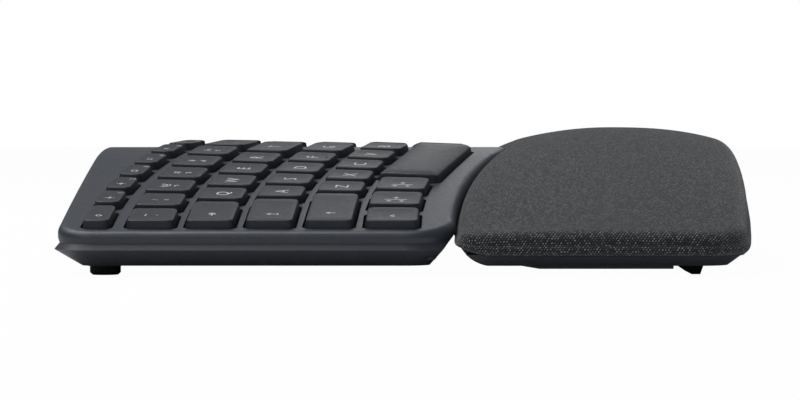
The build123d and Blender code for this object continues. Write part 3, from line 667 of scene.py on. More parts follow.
@dataclass(frozen=True)
class KeyFan:
    """Places of all keys: two fanned blocks and two straight ones.

    Offsets, depths and reaches of the rows, from the rear, are in row or key pitches.
    """

    wave: DeckWave = field(default_factory=DeckWave)
    rear_y: float = 116.5
    block_left_x: float = -223.9
    radius: float = 470.0
    home_setback: float = 69.5
    key_pitch: float = 19.0
    row_pitch: float = 19.1
    key_gap: float = 2.8
    right_extra: float = 16.9
    side_pitch: float = 18.2
    side_gap: float = 2.2
    inner_run: float = 50.0
    offsets: tuple[float, ...] = (2.9, 2.0, 1.0, 0.0, -1.0, -2.04)
    depths: tuple[float, ...] = (0.64, 1.0, 1.0, 1.0, 1.0, 1.09)
    reaches: tuple[float, ...] = (7.0, 7.2, 6.9, 7.0, 7.25, 7.42)
    space_offset: float = -2.09
    space_depth: float = 1.3

    def fan_key(
        self, side: int, row: int, outer: float, inner: float, name: str, legend: str
    ) -> KeySeat:
        """Key of a fanned block.

        Its middle lies on its row's arc, at an angle of arc length over radius, and outside the
        fan's start the row runs straight.

        Args:
            side: -1 for the left block, 1 for the right one.
            row: Row from the rear.
            outer: Reach of its outer edge, at the fan's own radius.
            inner: Reach of its inner edge.
            name: Name of the key, for a key that is a node by itself.
            legend: Characters on the key.

        Returns:
            The key's seat.
        """
        spaced = legend == BLANK
        offset = self.space_offset if spaced else self.offsets[row]
        depth = (self.space_depth if spaced else self.depths[row]) * self.row_pitch - self.key_gap
        radius = self.radius + offset * self.row_pitch
        start, end = (max(r, 0) * radius / self.radius + min(r, 0) for r in (outer, inner))
        middle = (start + end) / 2
        angle = max(middle, 0) / radius
        inward = radius * math.sin(angle) + min(middle, 0)
        reach = self.wave.crest_x - self.block_left_x
        x = self.wave.crest_x + side * (reach - inward)
        y = self.rear_y - self.home_setback - self.radius + radius * math.cos(angle)
        node = f"key_{name}"
        if side > 0:
            near = x < self.wave.crest_x + self.inner_run
            node = "keys_right_inner" if near else "keys_right_outer"
        heading = side * math.degrees(angle)
        return KeySeat(node, x, y, heading, end - start - self.key_gap, depth, legend)

    def fan_rows(self, side: int, rows: tuple[FanRow, ...]) -> list[KeySeat]:
        """Keys of a fanned block, row by row and each row from its outer end.

        Args:
            side: -1 for the left block, 1 for the right one.
            rows: Its rows from the rear.

        Returns:
            The block's keys.
        """
        keys = []
        for number, row in enumerate(rows):
            legends = row.legends.split()
            names = row.names.split() or [""] * len(legends)
            reach = 0.0 if side < 0 else -self.right_extra
            widths = [width * self.key_pitch for width in row.widths]
            open_keys = len(legends) - len(widths)
            rest = (self.reaches[number] * self.key_pitch - reach - sum(widths)) / open_keys
            for name, legend, width in zip(names, legends, widths + [rest] * open_keys):
                keys.append(self.fan_key(side, number, reach, reach + width, name, legend))
                reach += width
        return keys

    def side_key(
        self, node: str, start_x: float, columns: tuple[int, int], rows: tuple[int, int], legend: str
    ) -> KeySeat:
        """Key of a straight block.

        Args:
            node: Node that it belongs to.
            start_x: Left side of the block.
            columns: Its first column and the number of its columns.
            rows: Its rear row and its front row.
            legend: Characters on the key.

        Returns:
            The key's seat.
        """
        home = self.rear_y - self.home_setback
        first, last = rows
        rear = home + (self.offsets[first] + self.depths[first] / 2) * self.row_pitch
        front = home + (self.offsets[last] - self.depths[last] / 2) * self.row_pitch
        x = start_x + (columns[0] + columns[1] / 2) * self.side_pitch
        width = columns[1] * self.side_pitch - self.key_gap
        return KeySeat(node, x, (rear + front) / 2, 0.0, width, rear - front - self.key_gap, legend)

    def side_keys(
        self, node: str, start_x: float, columns: int, row: int, legends: str
    ) -> list[KeySeat]:
        """Keys of one column each that fill rows of a straight block.

        Args:
            node: Node that they belong to.
            start_x: Left side of the block.
            columns: Number of keys in a row.
            row: Rear row.
            legends: Legend of each key, row by row.

        Returns:
            The keys' seats.
        """
        return [
            self.side_key(node, start_x, (i % columns, 1), (row + i // columns,) * 2, legend)
            for i, legend in enumerate(legends.split())
        ]

    def straight_blocks(self) -> list[KeySeat]:
        """Keys of the navigation block and the number pad.

        Returns:
            The keys' seats.
        """
        reach = self.wave.crest_x - self.block_left_x
        block = ("navigation_keys", self.wave.crest_x + reach + self.right_extra + self.side_gap)
        keys = self.side_keys(
            *block, 3, 0, "*cross *bars *pane *grid *home *pageup *delete *end *pagedown"
        )
        keys.append(self.side_key(*block, (1, 1), (4, 4), "*up"))
        keys += self.side_keys(*block, 3, 5, "*left *down *right")
        block = ("number_pad_keys", block[1] + 3 * self.side_pitch + self.side_gap)
        keys += self.side_keys(*block, 4, 0, "*ring *sun *rule *bars *grid / * -")
        keys += self.side_keys(*block, 3, 2, "7 8 9 4 5 6 1 2 3")
        keys.append(self.side_key(*block, (3, 1), (2, 3), "+"))
        keys.append(self.side_key(*block, (3, 1), (4, 5), "*enter"))
        keys.append(self.side_key(*block, (0, 2), (5, 5), "0"))
        keys.append(self.side_key(*block, (2, 1), (5, 5), "."))
        return keys

    def all_keys(self) -> list[KeySeat]:
        """Every key of the keyboard."""
        fans = self.fan_rows(-1, LEFT_ROWS) + self.fan_rows(1, RIGHT_ROWS)
        return fans + self.straight_blocks()


@dataclass(frozen=True)
class Mark:
    """Plain mark: strokes by their ends, a ring by its radius, an arrow by its heading in degrees."""

    strokes: tuple[Stroke, ...] = ()
    ring: float | None = None
    arrow: float | None = None
    stem: bool = True


def rays(inner: float, outer: float) -> tuple[Stroke, ...]:
    """Four strokes that point away from the middle, between two radii."""
    ways = ((1, 0), (0, 1), (-1, 0), (0, -1))
    return tuple((inner * c, inner * s, outer * c, outer * s) for c, s in ways)


def crosses(half: float, *places: tuple[float, float]) -> tuple[Stroke, ...]:
    """Two strokes for a small upright cross at each place."""
    pairs = (((x - half, y, x + half, y), (x, y - half, x, y + half)) for x, y in places)
    return tuple(stroke for pair in pairs for stroke in pair)


ARROW_HEAD = ((0.2, 1.1, 1.5, 0.0), (0.2, -1.1, 1.5, 0.0))
ARROW_STEM = ((-1.5, 0.0, 1.4, 0.0),)
MARKS = {
    "blank": Mark(),
    "ring": Mark(ring=1.3),
    "sun": Mark(rays(1.3, 1.9), ring=0.9),
    "pane": Mark(
        ((-1.5, -1.1, 1.5, -1.1), (-1.5, 1.1, 1.5, 1.1), (-1.5, -1.1, -1.5, 1.1), (1.5, -1.1, 1.5, 1.1))
    ),
    "grid": Mark(tuple((x, y - 0.45, x, y + 0.45) for x in (-1.2, 0, 1.2) for y in (-0.8, 0.8))),
    "cross": Mark(((-1.2, -1.2, 1.2, 1.2), (-1.2, 1.2, 1.2, -1.2))),
    "bars": Mark(((-1.2, -1.2, -1.2, -0.2), (0.0, -1.2, 0.0, 0.5), (1.2, -1.2, 1.2, 1.2))),
    "play": Mark(((-1.0, -1.2, -1.0, 1.2), (-1.0, 1.2, 1.3, 0.0), (1.3, 0.0, -1.0, -1.2))),
    "rule": Mark(((0.0, -4.3, 0.0, 4.3),) + crosses(0.9, (2.4, 0.0), (-2.4, 2.1), (-2.4, -2.1))),
    "hook": Mark(((-1.3, -0.7, 0.0, 0.7), (0.0, 0.7, 1.3, -0.7))),
    "tab": Mark(((1.9, -1.1, 1.9, 1.1),), arrow=0),
    "caps": Mark(((-1.1, -2.0, 1.1, -2.0),), arrow=90),
    "shift": Mark(arrow=90),
    "back": Mark(arrow=180),
    "enter": Mark(((1.4, 0.0, 1.4, 1.3),), arrow=180),
    "home": Mark(((-1.6, 1.8, 1.0, 1.8),), arrow=135),
    "end": Mark(((-1.0, -1.8, 1.6, -1.8),), arrow=-45),
    "pageup": Mark(((-1.0, 2.0, 1.0, 2.0),), arrow=90),
    "pagedown": Mark(((-1.0, -2.0, 1.0, -2.0),), arrow=-90),
    "delete": Mark(((-0.9, -1.0, -0.9, 1.0),), arrow=0),
    "up": Mark(arrow=90, stem=False),
    "down": Mark(arrow=-90, stem=False),
    "left": Mark(arrow=180, stem=False),
    "right": Mark(arrow=0, stem=False),
}


@dataclass
class LegendPress:
    """Flat shapes of the key legends: characters of the built-in typeface and plain marks."""

    wave: DeckWave = field(default_factory=DeckWave)
    cap_height: float = 4.6
    small_height: float = 3.4
    tiny_height: float = 1.9
    capital_share: float = 0.72
    curve_steps: int = 2
    line: float = 0.5
    ring_steps: int = 20
    pair_offset: float = 2.6
    short_key: float = 11.0
    short_mark_share: float = 0.8
    centred_width: float = 14.0
    outward_share: float = 0.32
    digit_shares: tuple[float, float] = (0.3, -0.26)
    made: dict[str, Shape] = field(default_factory=dict)

    def character(self, char: str, height: float) -> Shape:
        """Flat shape of a character, centred.

        Args:
            char: The character.
            height: Height of a capital in millimetres.

        Returns:
            Points (n, 2) in millimetres and faces.
        """
        key = f"{char}:{height}"
        if key not in self.made:
            curve = bpy.data.curves.new("legend", "FONT")
            curve.body, curve.size = char, height * MM / self.capital_share
            curve.resolution_u = self.curve_steps
            glyph = bpy.data.objects.new("legend", curve)
            bpy.context.scene.collection.objects.link(glyph)
            bpy.context.view_layer.update()
            shown = glyph.evaluated_get(bpy.context.evaluated_depsgraph_get())
            mesh = bpy.data.meshes.new_from_object(shown)
            points = np.empty(len(mesh.vertices) * 3)
            mesh.vertices.foreach_get("co", points)
            points = points.reshape(-1, 3)[:, :2] / MM
            middle_x = (points.min(axis=0) + points.max(axis=0))[0] / 2
            faces = [tuple(p.vertices) for p in mesh.polygons]
            self.made[key] = (points - [middle_x, height / 2], faces)
            bpy.data.objects.remove(glyph)
            bpy.data.meshes.remove(mesh)
            bpy.data.curves.remove(curve)
        return self.made[key]

    def bar(self, x0: float, y0: float, x1: float, y1: float) -> Shape:
        """Straight stroke between two points, as wide as the line.

        Args:
            x0: X of its start.
            y0: Y of its start.
            x1: X of its end.
            y1: Y of its end.

        Returns:
            Its corners and its face.
        """
        start, end = np.array([x0, y0]), np.array([x1, y1])
        along = (end - start) / np.linalg.norm(end - start)
        side = np.array([-along[1], along[0]]) * self.line / 2
        return np.array([start - side, end - side, end + side, start + side]), [(0, 1, 2, 3)]

    def ring(self, radius: float) -> Shape:
        """Thin ring, a line's width inwards from its radius.

        Args:
            radius: Its outer radius.

        Returns:
            Points of both circles and the faces between them.
        """
        count = self.ring_steps
        angle = np.linspace(0, 2 * np.pi, count, endpoint=False)
        circle = np.stack([np.cos(angle), np.sin(angle)], axis=1)
        return np.concatenate([circle * radius, circle * (radius - self.line)]), ring_faces(2, count)

    def arrow(self, angle: float, stem: bool) -> list[Shape]:
        """Arrow with or without its stem.

        Args:
            angle: Heading in degrees, anticlockwise from X.
            stem: Whether it has a stem.

        Returns:
            Points and faces of each stroke.
        """
        strokes = ARROW_HEAD + ARROW_STEM if stem else ARROW_HEAD
        turn = turned(math.radians(angle))
        return [(points @ turn, faces) for points, faces in (self.bar(*s) for s in strokes)]

    def mark(self, name: str) -> list[Shape]:
        """Ring, arrow and strokes of a plain mark.

        Args:
            name: Name of the mark, without its star.

        Returns:
            Points and faces of each shape.
        """
        mark = MARKS[name]
        shapes = [] if mark.ring is None else [self.ring(mark.ring)]
        if mark.arrow is not None:
            shapes += self.arrow(mark.arrow, mark.stem)
        return shapes + [self.bar(*stroke) for stroke in mark.strokes]

    def shapes(self, key: KeySeat) -> list[Shape]:
        """Shapes of a key's legend in the key's own plan.

        A mark stands outwards of the middle, by a share of the width past that of a small key.

        Args:
            key: The key.

        Returns:
            Points and faces of each shape.
        """
        legend = key.legend
        if legend.startswith("*") and len(legend) > 1:
            name, _, digit = legend[1:].partition("/")
            size = self.short_mark_share if key.depth < self.short_key else 1.0
            side = 1 if key.x < self.wave.crest_x else -1
            outward = -self.outward_share * (key.width - self.centred_width) * side
            shapes = [(points * size + [outward, 0.0], faces) for points, faces in self.mark(name)]
            if digit:
                points, faces = self.character(digit, self.tiny_height)
                across, back = self.digit_shares
                shapes.append((points + [across * key.width, back * key.depth], faces))
            return shapes
        if len(legend) == 1:
            return [self.character(legend, self.cap_height)]
        low, high = (self.character(char, self.small_height) for char in legend)
        offset = [0, self.pair_offset]
        return [(low[0] - offset, low[1]), (high[0] + offset, high[1])]


@dataclass
class Keycaps:
    """Keycaps with leaning sides, rolled top edges and a shallow dish, or a crown on the space keys."""

    wardrobe: Wardrobe
    wave: DeckWave = field(default_factory=DeckWave)
    press: LegendPress = field(default_factory=LegendPress)
    rise: float = 2.7
    skirt: float = 1.7
    edge_inset: float = 0.05
    edge_rise: float = 0.3
    lean: float = 0.7
    corner: float = 2.4
    corner_loss_share: float = 0.4
    top_corner_loss: float = 0.46
    roll: float = 0.55
    roll_angles: tuple[float, ...] = (0.0, 30.0, 60.0, 90.0)
    top_shares: tuple[float, ...] = (0.8, 0.55, 0.28)
    dish: float = 0.4
    crowned_rise: float = 3.7
    crown: float = 1.9
    corner_steps: int = 4
    ink_lift: float = 0.035
    sharp_angle: float = 50.0
    home_legends: tuple[str, ...] = ("F", "J")
    bump_size: tuple[float, float, float] = (1.9, 0.42, 0.34)
    bump_lifts: tuple[float, ...] = (-45.0, -10.0, 20.0, 50.0, 72.0)
    bump_floor_share: float = 0.75
    bump_place_share: float = 0.31
    bump_steps: int = 16

    def outline(self, width: float, depth: float, radius: float) -> np.ndarray:
        """Rounded rectangle, anticlockwise.

        Each corner is a quarter circle of the radius about a centre that far inside both sides.

        Args:
            width: Size along X.
            depth: Size along Y.
            radius: Corner radius.

        Returns:
            Points of shape (n, 2).
        """
        turn = np.linspace(0, np.pi / 2, self.corner_steps + 1)
        quarter = np.stack([np.cos(turn), np.sin(turn)], axis=1) * radius
        corners = []
        for number, (sx, sy) in enumerate(((1, 1), (-1, 1), (-1, -1), (1, -1))):
            centre = [sx * (width / 2 - radius), sy * (depth / 2 - radius)]
            corners.append(quarter @ turned(number * np.pi / 2) + centre)
        return np.concatenate(corners)

    def top(self, points: np.ndarray, key: KeySeat) -> np.ndarray:
        """Height of the cap's top over its plan.

        A dished top sinks by the dish depth times one minus the squared share of the half width.
        A crowned top falls by the crown times the squared share of the half depth.

        Args:
            points: Plan points (n, 2).
            key: The key.

        Returns:
            Heights in millimetres.
        """
        if key.crowned:
            share = np.clip(points[:, 1] / (key.depth / 2), -1, 1)
            return self.crowned_rise - self.crown * share**2
        share = np.clip(points[:, 0] / (key.width / 2 - self.lean), -1, 1)
        return self.rise - self.dish * (1 - share**2)

    def place(self, key: KeySeat) -> tuple[np.ndarray, np.ndarray]:
        """Turn and place that carry a key's own frame onto the deck.

        The cap's plane is tilted along the chord between its two ends, and its heading turns in
        that plane.

        Args:
            key: The key.

        Returns:
            Matrix whose rows are the key's axes, and the place of its origin.
        """
        turn = math.radians(key.heading)
        half = key.width / 2 * math.cos(turn)
        low, high, middle = self.wave.height(np.array([key.x - half, key.x + half, key.x]))
        tilt = math.atan2(high - low, 2 * half)
        level = ((low + high) / 2 + middle) / 2
        flat = math.cos(turn)
        across = np.array([flat * math.cos(tilt), math.sin(turn), flat * math.sin(tilt)])
        normal = np.array([-math.sin(tilt), 0.0, math.cos(tilt)])
        axes = np.array([across / np.linalg.norm(across), np.cross(normal, across), normal])
        return axes, np.array([key.x, key.y, level])

    def cap(self, key: KeySeat) -> Shape:
        """Closed surface of one cap in its own frame.

        Rings of the rounded plan climb from the skirt over the leaning side and the rolled edge,
        then close in over the top by shares of the plan.

        Args:
            key: The key.

        Returns:
            Points (n, 3) and faces.
        """
        rings = []
        for inset, rise in ((0.0, 0.0), (self.edge_inset, self.edge_rise)):
            plan = self.outline(key.width - 2 * inset, key.depth - 2 * inset, self.corner)
            rings.append(np.column_stack([plan, np.full(len(plan), rise - self.skirt)]))
        for angle in np.radians(self.roll_angles):
            inset = self.lean + self.roll * (1 - math.cos(angle))
            drop = self.roll * (1 - math.sin(angle))
            corner = self.corner - inset * self.corner_loss_share
            plan = self.outline(key.width - 2 * inset, key.depth - 2 * inset, corner)
            rings.append(np.column_stack([plan, self.top(plan, key) - drop]))
        width, depth = (side - 2 * self.lean - 2 * self.roll for side in (key.width, key.depth))
        plan = self.outline(width, depth, self.corner - self.top_corner_loss)
        for share in self.top_shares:
            rings.append(np.column_stack([plan * share, self.top(plan * share, key)]))
        count = len(plan)
        middle = np.zeros((1, 2))
        foot = [[0.0, 0.0, -self.skirt]]
        tip = np.column_stack([middle, self.top(middle, key)])
        points = np.concatenate([foot, *rings, tip])
        last = len(points) - 1
        faces = ring_faces(len(rings), count, 1)
        faces += fan_faces(last - count, count, last, True) + fan_faces(1, count, 0, False)
        return points, faces

    def bump(self, key: KeySeat) -> Shape:
        """Small raised bar by which a finger finds a home key.

        It is a flattened ellipsoid near the cap's front, its lower part sunk into the top.

        Args:
            key: The home key.

        Returns:
            Points (n, 3) and faces.
        """
        count = self.bump_steps
        turn = np.linspace(0, 2 * np.pi, count, endpoint=False)
        half_width, half_depth, height = self.bump_size
        rings = []
        for lift in np.radians(self.bump_lifts):
            across = np.cos(turn) * math.cos(lift) * half_width
            back = np.sin(turn) * math.cos(lift) * half_depth
            rings.append(np.column_stack([across, back, np.full(count, math.sin(lift) * height)]))
        ends = [[0.0, 0.0, -height * self.bump_floor_share], [0.0, 0.0, height]]
        points = np.concatenate([*rings, ends])
        low = len(points) - 2
        faces = ring_faces(len(rings), count)
        faces += fan_faces(low - count, count, low + 1, True) + fan_faces(0, count, low, False)
        spot = np.array([[0.0, -self.bump_place_share * key.depth]])
        return points + [0.0, spot[0, 1], self.top(spot, key)[0]], faces

    def build_group(self, name: str, keys: list[KeySeat]) -> bpy.types.Object:
        """Makes one piece from the caps and legends of the keys that move together.

        Args:
            name: Name of the piece.
            keys: Its keys.

        Returns:
            The new piece.
        """
        points, faces, slots, total = [], [], [], 0
        for key in keys:
            axes, spot = self.place(key)
            shapes = [(self.cap(key), 0)]
            if key.legend in self.home_legends:
                shapes.append((self.bump(key), 0))
            for plan, plan_faces in self.press.shapes(key):
                raised = np.column_stack([plan, self.top(plan, key) + self.ink_lift])
                shapes.append(((raised, plan_faces), 1))
            for (local, local_faces), slot in shapes:
                points.append(local @ axes + spot)
                faces += [tuple(total + corner for corner in face) for face in local_faces]
                slots += [slot] * len(local_faces)
                total += len(local)
        materials = [self.wardrobe.get(Finish.KEY), self.wardrobe.get(Finish.INK)]
        return mesh_piece(
            name, np.concatenate(points), faces, materials, np.array(slots), self.sharp_angle
        )

    def build(self, keys: list[KeySeat]) -> None:
        """Makes every cap, each riding on its own body in place of its node.

        Args:
            keys: All keys.
        """
        nodes: dict[str, list[KeySeat]] = {}
        for key in keys:
            nodes.setdefault(key.node, []).append(key)
        for node, members in nodes.items():
            piece = self.build_group(f"cap_{node}", members)
            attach(piece, members[0].body)
            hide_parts(node)
            LOG.info("keycaps %s: %d", node, len(members))


# Palm rest


@dataclass
class PalmPad:
    """Fabric cushion of the palm rest: a crowned pillow, rolled over its edges down to its seam."""

    wardrobe: Wardrobe
    wave: DeckWave = field(default_factory=DeckWave)
    front_y: float = -116.5
    front_rise: float = 12.5
    right_reach: float = 376.0
    corner: float = 16.0
    crease_gap: float = 0.8
    fan_y: float = -423.0
    fan_radius: float = 410.8
    fan_left_x: float = -223.9
    apex_radius: float = 107.0
    crown: float = 7.4
    peak_share: float = 0.46
    rear_drop_share: float = 0.13
    front_drop_share: float = 0.14
    front_drop_power: float = 2.6
    drop_limit: float = 1.2
    seam_z: float = 6.7
    seam_rise: float = 2.6
    seam_rise_y: float = -24.0
    seam_rise_run: float = 11.0
    seam_rise_power: float = 1.6
    rear_lap: float = 9.0
    lap_facing: float = 0.4
    tuck: float = 1.0
    tuck_power: float = 2.5
    bulge: float = 1.3
    roll_share: float = 0.5
    end_roll: float = 5.2
    end_facing: float = 0.35
    facing_span: float = 0.6
    front_roll: float = 6.0
    rear_roll: float = 8.0
    side_blend: float = 1.6
    fullness: float = 2.4
    soften: float = 3.4
    ridge_inset: float = 46.0
    merge_gap: float = 0.002
    cloth_margin: float = 4.0
    cloth_steps: int = 400
    edge_steps: int = 1200
    half_count: int = 240
    wall_rings: int = 7
    seam_band: float = 0.06
    roll_rings: int = 12
    top_rings: int = 24

    @property
    def right_x(self) -> float:
        """Right end of the cushion."""
        return self.wave.left_x + self.right_reach

    def sweep(self) -> tuple[float, float]:
        """Wide front arc through the ends of the front, from its rise over half its run.

        Returns:
            Its radius and the Y of its centre.
        """
        half_run = self.wave.crest_reach
        radius = (half_run**2 + self.front_rise**2) / (2 * self.front_rise)
        return radius, self.front_y + radius

    def wide_front(self, x: np.ndarray) -> np.ndarray:
        """Y of the wide front arc, without its corners."""
        radius, centre_y = self.sweep()
        return centre_y - np.sqrt(radius**2 - (x - self.wave.crest_x) ** 2)

    def front(self, x: np.ndarray) -> np.ndarray:
        """Front edge: the wide arc, with an arc that touches it at each corner.

        Args:
            x: Places in millimetres.

        Returns:
            Y of the edge.
        """
        radius, centre_y = self.sweep()
        y = self.wide_front(x)
        corners = ((self.wave.left_x + self.corner, -1), (self.right_x - self.corner, 1))
        for corner_x, side in corners:
            run = corner_x - self.wave.crest_x
            corner_y = centre_y - math.sqrt((radius - self.corner) ** 2 - run**2)
            touch = self.wave.crest_x + radius * run / (radius - self.corner)
            arc = corner_y - np.sqrt(np.maximum(self.corner**2 - (x - corner_x) ** 2, 0))
            y = np.where((x - touch) * side > 0, arc, y)
        return y

    def rear(self, x: np.ndarray) -> np.ndarray:
        """Rear edge: it follows the deck's fanned front edge a small gap away.

        Args:
            x: Places in millimetres.

        Returns:
            Y of the edge.
        """
        radius = self.fan_radius - self.crease_gap
        apex = self.apex_radius + self.crease_gap
        reach = self.wave.crest_x - self.fan_left_x
        away = np.abs(x - self.wave.crest_x)
        fan = self.fan_y + np.sqrt(radius**2 - np.clip(reach - away, 0, reach) ** 2)
        apex_y = self.fan_y + math.sqrt((radius + apex) ** 2 - reach**2)
        touch = reach - radius * reach / (radius + apex)
        tip = apex_y - np.sqrt(apex**2 - np.minimum(away, apex) ** 2)
        return np.where(away < touch, tip, fan)

    def top(self, x: np.ndarray, y: np.ndarray) -> np.ndarray:
        """Height of the cushion's top over its plan.

        The crown line is the deck's wave plus a swell that fades with the squared share of the
        way to either end. From that line the top falls to the rear by the squared share of the
        depth, and to the front by a higher power of its share.

        Args:
            x: Places in millimetres.
            y: Places in millimetres.

        Returns:
            Heights in millimetres.
        """
        right_run = self.right_reach - self.wave.crest_reach
        run = np.where(x < self.wave.crest_x, self.wave.crest_reach, right_run)
        share = np.clip((x - self.wave.crest_x) / run, -1, 1)
        crown = self.wave.height(x) + self.crown * (1 - share**2)
        rise = crown - self.seam_z
        rear, front = self.rear(x), self.wide_front(x)
        peak = rear - self.peak_share * (rear - front)
        back = np.clip((y - peak) / (rear - peak), 0, self.drop_limit)
        fore = np.clip((peak - y) / (peak - front), 0, self.drop_limit)
        drop = self.rear_drop_share * back**2 + self.front_drop_share * fore**self.front_drop_power
        return crown - rise * drop

    def outline(self) -> tuple[np.ndarray, np.ndarray]:
        """Closed plan outline with its outward normals.

        It starts at the middle of the left end and runs along the front to the right end and
        back along the rear, in steps of equal length on each half. A Gaussian filter over the
        closed line, as a factor on its Fourier terms, rounds its sharp corners.

        Returns:
            Points and unit normals, both of shape (n, 2).
        """
        left, right = self.wave.left_x, self.right_x
        turn = np.linspace(0, np.pi, self.edge_steps)
        x = (left + right) / 2 - (right - left) / 2 * np.cos(turn)
        front, rear = self.front(x), self.rear(x)
        middles = ((front + rear) / 2)[[0, -1]]
        halves = []
        for edge in (front, rear):
            path = np.column_stack([np.r_[left, x, right], np.r_[middles[0], edge, middles[1]]])
            steps = np.r_[0.0, np.cumsum(np.linalg.norm(np.diff(path, axis=0), axis=1))]
            places = np.linspace(0, steps[-1], self.half_count + 1)
            halves.append(np.column_stack([np.interp(places, steps, path[:, i]) for i in (0, 1)]))
        ring = np.concatenate([halves[0][:-1], halves[1][:0:-1]])
        length = np.linalg.norm(np.roll(ring, -1, axis=0) - ring, axis=1).sum()
        waves = np.fft.fftfreq(len(ring)) * len(ring)
        keep = np.exp(-2 * (np.pi * self.soften * waves / length) ** 2)
        line = np.fft.ifft(np.fft.fft(ring[:, 0] + 1j * ring[:, 1]) * keep)
        ring = np.column_stack([line.real, line.imag])
        along = np.roll(ring, -1, axis=0) - np.roll(ring, 1, axis=0)
        along /= np.linalg.norm(along, axis=1)[:, None]
        return ring, np.column_stack([along[:, 1], -along[:, 0]])

    def seam(self, plan: np.ndarray, normal: np.ndarray) -> np.ndarray:
        """Height of the lower edge: level, lifted near the channel and under the deck's lip.

        Args:
            plan: Outline points.
            normal: Their outward normals.

        Returns:
            Heights in millimetres.
        """
        near = share_past(plan[:, 1], self.seam_rise_y, self.seam_rise_run)
        lifted = self.seam_z + self.seam_rise * near**self.seam_rise_power
        facing = share_past(normal[:, 1], self.lap_facing, self.facing_span)
        hung = self.wave.height(plan[:, 0]) - self.rear_lap
        return np.maximum(lifted, self.seam_z + (hung - self.seam_z) * facing)

    def rings(self, plan: np.ndarray, normal: np.ndarray) -> np.ndarray:
        """Rings of points from the seam up the wall, over the rolled edge and in to the ridge.

        The wall swells by a half sine and draws in at the seam. The edge is a quarter
        superellipse between the wall and the top. Inside it each point runs straight to its
        place on a ridge along the middle, at the height of the top.

        Args:
            plan: Outline points.
            normal: Their outward normals.

        Returns:
            Array of shape (rings, points, 3).
        """
        low = self.seam(plan, normal)
        edge_top = self.top(plan[:, 0], plan[:, 1])
        facing = 0.5 - 0.5 * np.clip(normal[:, 1] * self.side_blend, -1, 1)
        limit = self.rear_roll + (self.front_roll - self.rear_roll) * facing
        ends = share_past(np.abs(normal[:, 0]), self.end_facing, self.facing_span)
        limit += (self.end_roll - limit) * ends * ends * (3 - 2 * ends)
        roll = np.minimum(self.roll_share * (edge_top - low), limit)
        rings = []
        shares = np.linspace(self.seam_band, 1, self.wall_rings - 1, endpoint=False)
        for share in np.r_[0.0, shares]:
            swell = self.bulge * math.sin(math.pi * share) - self.tuck * (1 - share) ** self.tuck_power
            level = low + (edge_top - roll - low) * share
            rings.append(np.column_stack([plan + normal * swell, level]))
        power = 2 / self.fullness
        for turn in np.linspace(0, np.pi / 2, self.roll_rings + 1):
            spot = plan - normal * (roll * (1 - max(math.cos(turn), 0.0) ** power))[:, None]
            level = self.top(spot[:, 0], spot[:, 1]) - roll * (1 - math.sin(turn) ** power)
            rings.append(np.column_stack([spot, level]))
        inner = rings[-1][:, :2]
        partner = inner[(-np.arange(len(inner))) % len(inner)]
        left, right = self.wave.left_x + self.ridge_inset, self.right_x - self.ridge_inset
        ridge_x = np.clip((inner + partner)[:, 0] / 2, left, right)
        ridge = np.column_stack([ridge_x, (self.rear(ridge_x) + self.wide_front(ridge_x)) / 2])
        for share in np.linspace(0, 1, self.top_rings + 1)[1:]:
            spot = inner + (ridge - inner) * share
            rings.append(np.column_stack([spot, self.top(spot[:, 0], spot[:, 1])]))
        return np.stack(rings)

    def weave(self, rings: np.ndarray, normal: np.ndarray) -> np.ndarray:
        """Flat places of the cloth in millimetres, one for each point.

        On the top they are the length along the wave and the depth. On the edge and wall the
        place runs on from the top's rim, square to the outline, by the length of cloth between.

        Args:
            rings: The cushion's points.
            normal: The outline's outward normals.

        Returns:
            Array of shape (rings * points, 2).
        """
        left, right = self.wave.left_x - self.cloth_margin, self.right_x + self.cloth_margin
        stops = np.linspace(left, right, self.cloth_steps)
        climb = np.hypot(np.diff(stops), np.diff(self.wave.height(stops)))
        lengths = np.r_[0.0, np.cumsum(climb)]
        rim = self.wall_rings + self.roll_rings
        cloth = np.stack([np.interp(rings[..., 0], stops, lengths), rings[..., 1]], axis=2)
        steps = np.linalg.norm(np.diff(rings[: rim + 1], axis=0), axis=2)
        hang = np.concatenate([np.cumsum(steps[::-1], axis=0)[::-1], np.zeros((1, rings.shape[1]))])
        cloth[: rim + 1] = cloth[rim][None] + normal[None] * hang[..., None]
        return cloth.reshape(-1, 2)

    def build(self) -> bpy.types.Object:
        """Makes the cushion, with a seam binding around its foot, closed underneath.

        Returns:
            The cushion.
        """
        plan, normal = self.outline()
        rings = self.rings(plan, normal)
        count = rings.shape[1]
        quads = ring_faces(rings.shape[0], count)
        step = np.arange(self.half_count)
        lid = np.stack([(-step) % count, (-step - 1) % count, step + 1, step], axis=1)
        quads += [tuple(dict.fromkeys(q)) for q in lid.tolist()]
        finishes = [self.wardrobe.get(Finish.FABRIC), self.wardrobe.get(Finish.SEAM)]
        slots = np.zeros(len(quads), dtype=np.int32)
        slots[:count] = 1
        slots[-len(lid):] = 1
        points = rings.reshape(-1, 3)
        piece = mesh_piece("pad_cushion", points, quads, finishes, slots, smooth_angle=180.0)
        layer = piece.data.uv_layers.new(name="weave")
        corners = np.empty(len(piece.data.loops), dtype=np.int32)
        piece.data.loops.foreach_get("vertex_index", corners)
        layer.data.foreach_set("uv", self.weave(rings, normal)[corners].ravel())
        shape = bmesh.new()
        shape.from_mesh(piece.data)
        bmesh.ops.remove_doubles(shape, verts=shape.verts, dist=self.merge_gap * MM)
        shape.to_mesh(piece.data)
        shape.free()
        LOG.info("cushion of %d faces", len(piece.data.polygons))
        return piece


# Rigid nodes and studio


